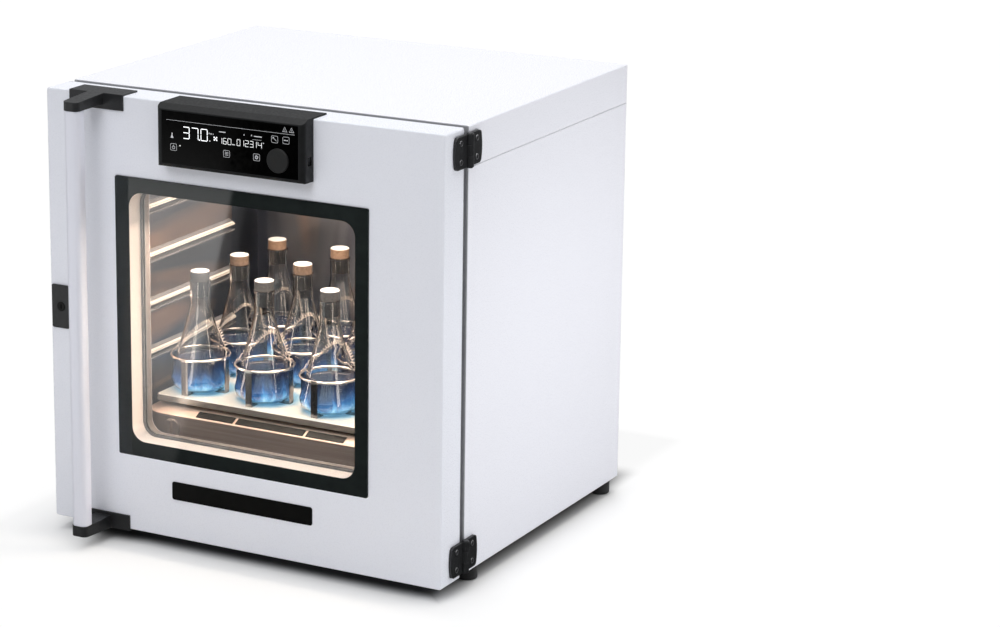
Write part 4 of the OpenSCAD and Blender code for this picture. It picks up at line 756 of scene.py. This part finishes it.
# Rows of figures: foot, height and thickness of the bars
TALL, LEFT_ROW, RIGHT_ROW = (712.6, 19.8, 1.2), (712.0, 9.8, 0.52), (712.2, 10.2, 0.52)
bm = bmesh.new()
for ch, xa, xb in (("3", -86.2, -73.4), ("7", -70.2, -56.8), ("0", -52.6, -39.6)):
    figure(bm, ch, xa, xb, *TALL)
ink(bm, arc_points(-55.0, 713.6, 1.15, 0, 330, 11))
for ch, xa, xb in (("1", -15.5, -12.9), ("6", -10.8, -4.5), ("0", -2.3, 4.4)):
    figure(bm, ch, xa, xb, *LEFT_ROW)
for ch, xa, xb in (("0", 14.8, 21.0), ("1", 25.5, 27.8), ("2", 29.8, 36.5), ("3", 38.6, 45.2), ("1", 48.9, 51.2),
                   ("4", 53.6, 60.6)):
    figure(bm, ch, xa, xb, *RIGHT_ROW)
# Fan sign: four blades round a hub
FAN_X, FAN_Z = -25.0, 718.8
for a in range(45, 405, 90):
    ca, sa = math.cos(math.radians(a)), math.sin(math.radians(a))
    ink(bm, arc_points(FAN_X + ca * 3.1, FAN_Z + sa * 2.9, 1.25, 0, 330, 11))
ink(bm, arc_points(FAN_X, FAN_Z, 1.1, 0, 320, 9))
piece("display_figures", bm, lit, "door")

bm = bmesh.new()
# Long rule under the top signs
bar(bm, -117.2, 740.3, 238.0, 0.4)
# Touch keys, each a rounded square with a generic sign
POWER_X, COG_X, COG_Z = -103.9, 51.0, 697.3
for kx, kz in ((POWER_X, 696.9), (-4.4, 696.8), (COG_X, COG_Z), (84.3, 729.9), (105.0, 730.2)):
    ink(bm, round_box(kx, kz, 12.0, 11.4, 2.0), [round_box(kx, kz, 11.0, 10.4, 1.6)])
# Power sign
ink(bm, arc_points(POWER_X, 696.4, 2.8, 120, 420, 20) + arc_points(POWER_X, 696.4, 2.1, 420, 120, 20))
bar(bm, POWER_X - 0.35, 696.8, 0.7, 3.6)
# Three lines
for i in range(3):
    bar(bm, -7.6, 699.0 - i * 2.3, 6.4, 0.7)
# Cogwheel
ink(bm, arc_points(COG_X, COG_Z, 2.2, 0, 340, 17), [arc_points(COG_X, COG_Z, 1.4, 0, 340, 17)])
tooth = ((2.1, 0.45), (3.4, 0.45), (3.4, -0.45), (2.1, -0.45))
for a in range(0, 360, 45):
    ca, sa = math.cos(math.radians(a)), math.sin(math.radians(a))
    ink(bm, [(COG_X + ca * r - sa * w, COG_Z + sa * r + ca * w) for r, w in tooth])
# Arrow, and a row of blocks
ink(bm, [(80.8, 732.6), (81.5, 733.0), (88.0, 727.4), (87.3, 727.0)])
ink(bm, [(80.6, 733.4), (83.6, 733.4), (80.6, 730.6)])
for x in (101.2, 103.8, 106.4):
    bar(bm, x, 729.4, 1.9, 1.6)
# Two triangles over the rule, each with a bar in it
for tx in (102.8, 115.1):
    ink(bm, [(tx - 4.5, 743.7), (tx + 4.5, 743.7), (tx, 751.6)],
        [[(tx - 3.6, 744.3), (tx + 3.6, 744.3), (tx, 750.6)]])
    bar(bm, tx - 0.25, 745.4, 0.5, 2.6)
# Flask sign
ink(bm, [(-109.4, 711.6), (-103.8, 711.6), (-105.9, 716.6), (-105.9, 720.0), (-107.3, 720.0), (-107.3, 716.6)])
# Ring for degrees, and short bars where the units stand
ink(bm, arc_points(-36.9, 726.2, 1.2, 0, 340, 13), [arc_points(-36.9, 726.2, 0.6, 0, 330, 11)])
for x, z, w, h in ((-34.4, 725.0, 2.6, 1.8), (-29.8, 725.0, 1.2, 1.8), (-18.2, 730.4, 12.0, 1.4),
                   (6.2, 712.2, 5.2, 1.6), (27.6, 729.8, 1.4, 2.2), (41.2, 730.4, 1.6, 2.2),
                   (46.4, 730.0, 14.6, 1.4), (43.8, 725.2, 16.2, 0.4), (62.6, 720.6, 2.2, 1.4),
                   (-36.8, 713.2, 2.4, 1.6)):
    bar(bm, x, z, w, h)
piece("panel_signs", bm, dim, "door")

bm = bmesh.new()
ink(bm, arc_points(-91.7, 700.3, 1.1, 0, 340, 17))
piece("status_light", bm, glow("status_white", (0.75, 0.78, 0.74), 0.5, 0.05), "door")


# Screw faces: a dark flange, a bright chamfered ring and a black disc painted as the shade in the socket, on each
# plain head

def disc_ring(bm, centre, normal, rings, sides=24):
    """Ring surface through (radius, height) pairs round a centre. A last radius of 0 closes it."""
    n = Vector(normal)
    u = Vector((0, 0, 1)) if abs(n.z) < 0.9 else Vector((1, 0, 0))
    v = n.cross(u)
    c = mm(*centre)
    turns = [2 * k * math.pi / sides for k in range(sides)]
    rows = [[bm.verts.new(c + n * (h / 1000) + (u * math.cos(a) + v * math.sin(a)) * (r / 1000)) for a in turns]
            for r, h in rings if r]
    for a, b in zip(rows, rows[1:]):
        for k in range(sides):
            bm.faces.new((a[k], a[(k + 1) % sides], b[(k + 1) % sides], b[k]))
    if not rings[-1][0]:
        bm.faces.new(rows[-1])


def solids_of(node):
    """Boxes of a node's separate solids, found from its loose parts, as lowest and highest corners in mm."""
    b = bmesh.new()
    b.from_mesh(nodes[node].data)
    bmesh.ops.remove_doubles(b, verts=b.verts, dist=1e-6)
    seen, boxes = set(), []
    for v in b.verts:
        if v in seen:
            continue
        stack, part = [v], []
        seen.add(v)
        while stack:
            w = stack.pop()
            part.append(w.co.copy())
            for e in w.link_edges:
                o = e.other_vert(w)
                if o not in seen:
                    seen.add(o)
                    stack.append(o)
        lo = Vector([min(p[i] for p in part) for i in range(3)]) * 1000
        hi = Vector([max(p[i] for p in part) for i in range(3)]) * 1000
        boxes.append((lo, hi))
    b.free()
    return boxes


# (radius, height) pairs of each surface, in mm
FLANGE = ((3.3, 0.06), (2.0, 0.05))
RING = ((4.78, 0.02), (4.5, 0.26), (3.6, 0.26), (3.3, 0.06))
SOCKET_SHADE = ((2.0, 0.05), (1.8, 0.03), (0, 0.02))
for node, body in (("cabinet_screws", "cabinet"), ("door_screws", "door")):
    flange, ring, socket = bmesh.new(), bmesh.new(), bmesh.new()
    for lo, hi in solids_of(node):
        mid, size = (lo + hi) / 2, hi - lo
        on_side = size.x > size.z
        face = (hi.x, mid.y, mid.z) if on_side else (mid.x, lo.y, mid.z)
        outward = (1, 0, 0) if on_side else (0, -1, 0)
        disc_ring(flange, face, outward, FLANGE)
        disc_ring(ring, face, outward, RING)
        # A black disc painted as the shade in the screw's socket
        disc_ring(socket, face, outward, SOCKET_SHADE, 6)
    for f in ring.faces:
        f.smooth = True
    piece(body + "_screw_flanges", flange, FINISHES["coat"], body)
    piece(body + "_screw_rings", ring, FINISHES["ring"], body)
    piece(body + "_screw_socket_shades", socket, FINISHES["black"], body)


# Retaining springs: fine wire in close coils, over each cone's back from one side of the ring to the other
CURLS, STEPS, WIRE_SIDES = 30, 12, 5
# Lengths in mm: the wire's and the coil's radius, the clamp ring's radius, and the middle line's start and rise
WIRE, COIL, RING_R, START_UP, RISE = 0.62, 2.7, 49.8, 64.3, 46
# The flask's cone: where it starts, how high it is and how far it draws in
CONE_UP, CONE_H, CONE_IN = 22, 122, 33.5
# Height of the flask's foot over the tray, and the coil's middle line's distance from the glass
FOOT_T, CLEAR = 1.2, 4.7


def flask_reach(z):
    """Radius of a flask at a height over its foot."""
    return FLASK_R if z < CONE_UP else FLASK_R - CONE_IN * min(1.0, (z - CONE_UP) / CONE_H)


def heading(points, i):
    """Direction of a line of points at its point i."""
    return (points[min(i + 1, len(points) - 1)] - points[max(i - 1, 0)]).normalized()


tray_top = lo_hi("tray")[1].z
line = []
for i in range(CURLS * STEPS + 1):
    k = i / (CURLS * STEPS)
    a, rise = math.pi * (1 - k), START_UP + RISE * math.sin(math.pi * k)
    near = flask_reach(rise - FOOT_T) + CLEAR
    r = RING_R + (near - RING_R) * min(1.0, 6 * min(k, 1 - k))
    line.append(Vector((r * math.cos(a), r * math.sin(a), rise)))
coil = []
for i, p in enumerate(line):
    k = i / (CURLS * STEPS)
    outward = Vector((math.cos(math.pi * (1 - k)), math.sin(math.pi * (1 - k)), 0.6)).normalized()
    up = heading(line, i).cross(outward).normalized()
    f = 2 * math.pi * i / STEPS
    coil.append(p + COIL * min(1.0, 12 * min(k, 1 - k)) * (math.cos(f) * outward + math.sin(f) * up))
spring = bmesh.new()
for lo, hi in solids_of("stoppers"):
    centre = Vector(((lo.x + hi.x) / 2, (lo.y + hi.y) / 2, tray_top))
    last = None
    for i, p in enumerate(coil):
        ahead = heading(coil, i)
        side = ahead.cross(Vector((0, 0, 1)))
        side = side.normalized() if side.length > 1e-4 else Vector((1, 0, 0))
        top = side.cross(ahead)
        ring = [spring.verts.new((centre + p + WIRE * (math.cos(q) * side + math.sin(q) * top)) / 1000)
                for q in (2 * math.pi * n / WIRE_SIDES for n in range(WIRE_SIDES))]
        if last:
            for n in range(WIRE_SIDES):
                m = (n + 1) % WIRE_SIDES
                spring.faces.new((last[n], last[m], ring[m], ring[n])).smooth = True
        else:
            spring.faces.new(ring[::-1])
        last = ring
    spring.faces.new(last)
spring_ob = piece("retaining_springs", spring, FINISHES["spring"], "platform")
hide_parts("clamp_springs")


# Floor and light

# Half the footprint's width, and how far its rear edge lies inside the object's box
HALF_W, REAR_EDGE = 0.37, 0.004
# The pale sheet's strength in mirrors, the dark floor's, and the sheet's slant
SHEET, DARK_FLOOR, SLANT = 1.45, 0.03, 0.556


def floor_material():
    """White studio floor with a soft shadow, painted near black under the cabinet, which gloss mirrors as a dark floor
    with a pale sheet on it.
    """
    t = Tree("floor_white")
    t.set(Roughness=0.85, Specular_IOR_Level=0.0)
    at = t.axes()
    # Distances out from the cabinet's footprint, and in from its edge
    aside = t.calc("MAXIMUM", t.calc("SUBTRACT", t.calc("ABSOLUTE", at["X"]), HALF_W), 0.0)
    ahead = t.calc("SUBTRACT", door_y / 1000, at["Y"])
    behind = t.calc("SUBTRACT", at["Y"], cad_hi.y - REAR_EDGE)
    along = t.calc("MAXIMUM", t.calc("MAXIMUM", ahead, behind), 0.0)
    gap = t.calc("SQRT", t.calc("ADD", t.calc("MULTIPLY", aside, aside), t.calc("MULTIPLY", along, along)))
    depth = t.calc("MINIMUM", t.calc("SUBTRACT", HALF_W, t.calc("ABSOLUTE", at["X"])), t.calc("MULTIPLY", ahead, -1.0))
    out_by = t.calc("SUBTRACT", gap, t.calc("MAXIMUM", depth, 0.0))
    # Painted shadow: near black under the cabinet's footprint
    shade = t.fade(depth, 0.0, 0.045, 1.0, 0.10)
    pale = t.ramp(t.noise(3, 2), shades((0.90, 0.897, 0.892), 0.003))
    t.paint(t.blend(shade, (0.012, 0.012, 0.012), pale))
    # How white the camera sees it: not under the cabinet, mostly round it, wholly further out
    near = t.fade(out_by, -0.03, 0.10, 0.0, 0.60)
    far = t.fade(gap, 0.08, 0.36, 0.0, 1.0)
    beside = t.fade(t.calc("MAXIMUM", aside, behind), 0.03, 0.14, 0.0, 0.92)
    share = t.calc("MAXIMUM", t.calc("MAXIMUM", near, far), beside)
    white = t.add("ShaderNodeEmission")
    white.inputs["Strength"].default_value = 1.02
    path = t.add("ShaderNodeLightPath").outputs
    seen = t.blend_shader(t.calc("MAXIMUM", path["Is Camera Ray"], path["Is Transmission Ray"]), t.bsdf.outputs[0],
                          t.blend_shader(share, t.bsdf.outputs[0], white.outputs[0]))
    # Gloss mirrors a dark studio floor with one pale sheet laid on its left
    sheet = t.fade(t.calc("SUBTRACT", t.calc("MULTIPLY", at["Y"], SLANT), at["X"]), -0.01, 0.01, 0.0, 1.0)
    forward = t.calc("MULTIPLY", at["Y"], -1.0)
    reach = t.calc("MULTIPLY", t.fade(forward, 2.2, 3.4, 1.0, 0.12), t.fade(forward, 0.55, 1.35, 0.15, 1.0))
    mirror = t.add("ShaderNodeEmission")
    light = t.calc("ADD", t.calc("MULTIPLY", t.calc("MULTIPLY", sheet, reach), SHEET), DARK_FLOOR)
    t.link(light, mirror.inputs["Strength"])
    t.link(t.blend_shader(path["Is Glossy Ray"], seen, mirror.outputs[0]), t.out.inputs["Surface"])
    return t.mat


floor = bpy.data.meshes.new("floor")
bm = bmesh.new()
bmesh.ops.create_grid(bm, x_segments=1, y_segments=1, size=30)
bm.to_mesh(floor)
bm.free()
floor_ob = bpy.data.objects.new("floor", floor)
bpy.context.scene.collection.objects.link(floor_ob)
floor_ob.location.z = -0.0005  # just under the feet
floor_ob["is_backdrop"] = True
floor.materials.append(floor_material())

world = bpy.data.worlds.new("studio")
bpy.context.scene.world = world
world.use_nodes = True
wt = world.node_tree
wt.nodes.clear()
world_out = wt.nodes.new("ShaderNodeOutputWorld")
background = wt.nodes.new("ShaderNodeBackground")
background.inputs["Color"].default_value = (0.97, 0.98, 1.0, 1)
rays = wt.nodes.new("ShaderNodeLightPath")


def level(ray, low, high, base=None):
    """Strength that is high for one kind of ray, and low or another level for the rest."""
    m = wt.nodes.new("ShaderNodeMix")
    wt.links.new(rays.outputs[ray], m.inputs["Factor"])
    m.inputs["A"].default_value = low
    m.inputs["B"].default_value = high
    if base:
        wt.links.new(base.outputs["Result"], m.inputs["A"])
    return m


strength = level("Is Camera Ray", 0, 1.0, level("Is Transmission Ray", 0, 1.0, level("Is Glossy Ray", 0.20, 0.38)))
wt.links.new(strength.outputs["Result"], background.inputs["Strength"])
wt.links.new(background.outputs[0], world_out.inputs["Surface"])


def lamp(name, at, to, size, power, colour=(1, 1, 1), size_y=None, inside=False):
    """Area lamp that shines from one point towards another. The chamber's lamps aren't seen through glass."""
    light = bpy.data.lights.new(name, "AREA")
    light.shape = "RECTANGLE"
    light.size, light.size_y = size, size_y or size
    light.energy = power
    light.color = colour
    ob = bpy.data.objects.new(name, light)
    bpy.context.scene.collection.objects.link(ob)
    ob.location = at
    ob.rotation_mode = "QUATERNION"
    ob.rotation_quaternion = (Vector(to) - Vector(at)).to_track_quat("-Z", "Y")
    ob.visible_camera = False
    if inside:
        ob.visible_transmission = False
    return ob


COOL, WARM, WARMER, STREAK_WARM = (0.97, 0.98, 1.0), (1.0, 0.82, 0.68), (1.0, 0.80, 0.64), (1.0, 0.86, 0.74)
lamp("key_top", (0.3, 0.5, 3.6), (0.05, 0.05, 0.7), 3.6, 110)
lamp("fill_back", (-2.6, 2.8, 2.0), (0, 0.1, 0.4), 2.0, 40, COOL).visible_glossy = False
side_key = lamp("key_right", (1.04, 0.08, 0.46), (0.37, 0.08, 0.44), 1.15, 2.95, (0.985, 0.99, 1.0), 0.26)
side_key.visible_glossy = False
lamp("fill_front", (0.2, -3.3, 3.3), (0.05, -0.3, 0.42), 2.2, 64, COOL)

# Warm light in the chamber: down on to the tray, across to the left wall, and on to the window's sill
liner_lo, liner_hi = lo_hi("chamber_liner")
roof, front = liner_hi.z - 4, liner_lo.y
lamp("chamber_top", mm(20, front + 190, roof - 14), mm(20, front + 190, 0), 0.40, 3.9, WARM, 0.22, True)
lamp("chamber_right", mm(262, front + 110, 430), mm(-275, front + 150, 400), 0.36, 0.9, WARM, 0.10, True)
lamp("chamber_sill", mm(0, front + 12, 540), mm(0, front - 34, 170), 0.38, 2.3, WARMER, 0.03, True)
# Tall narrow lamps that draw a bright streak on each flask
for x in (-165, 205):
    at, to = mm(x, front + 14, 420), mm(0, front + 200, 380)
    streak = lamp("flask_streak", at, to, 0.03, 0.35, STREAK_WARM, 0.42, True)
    streak.visible_diffuse = False

bpy.context.scene.view_settings.view_transform = "Standard"

lo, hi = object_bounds()
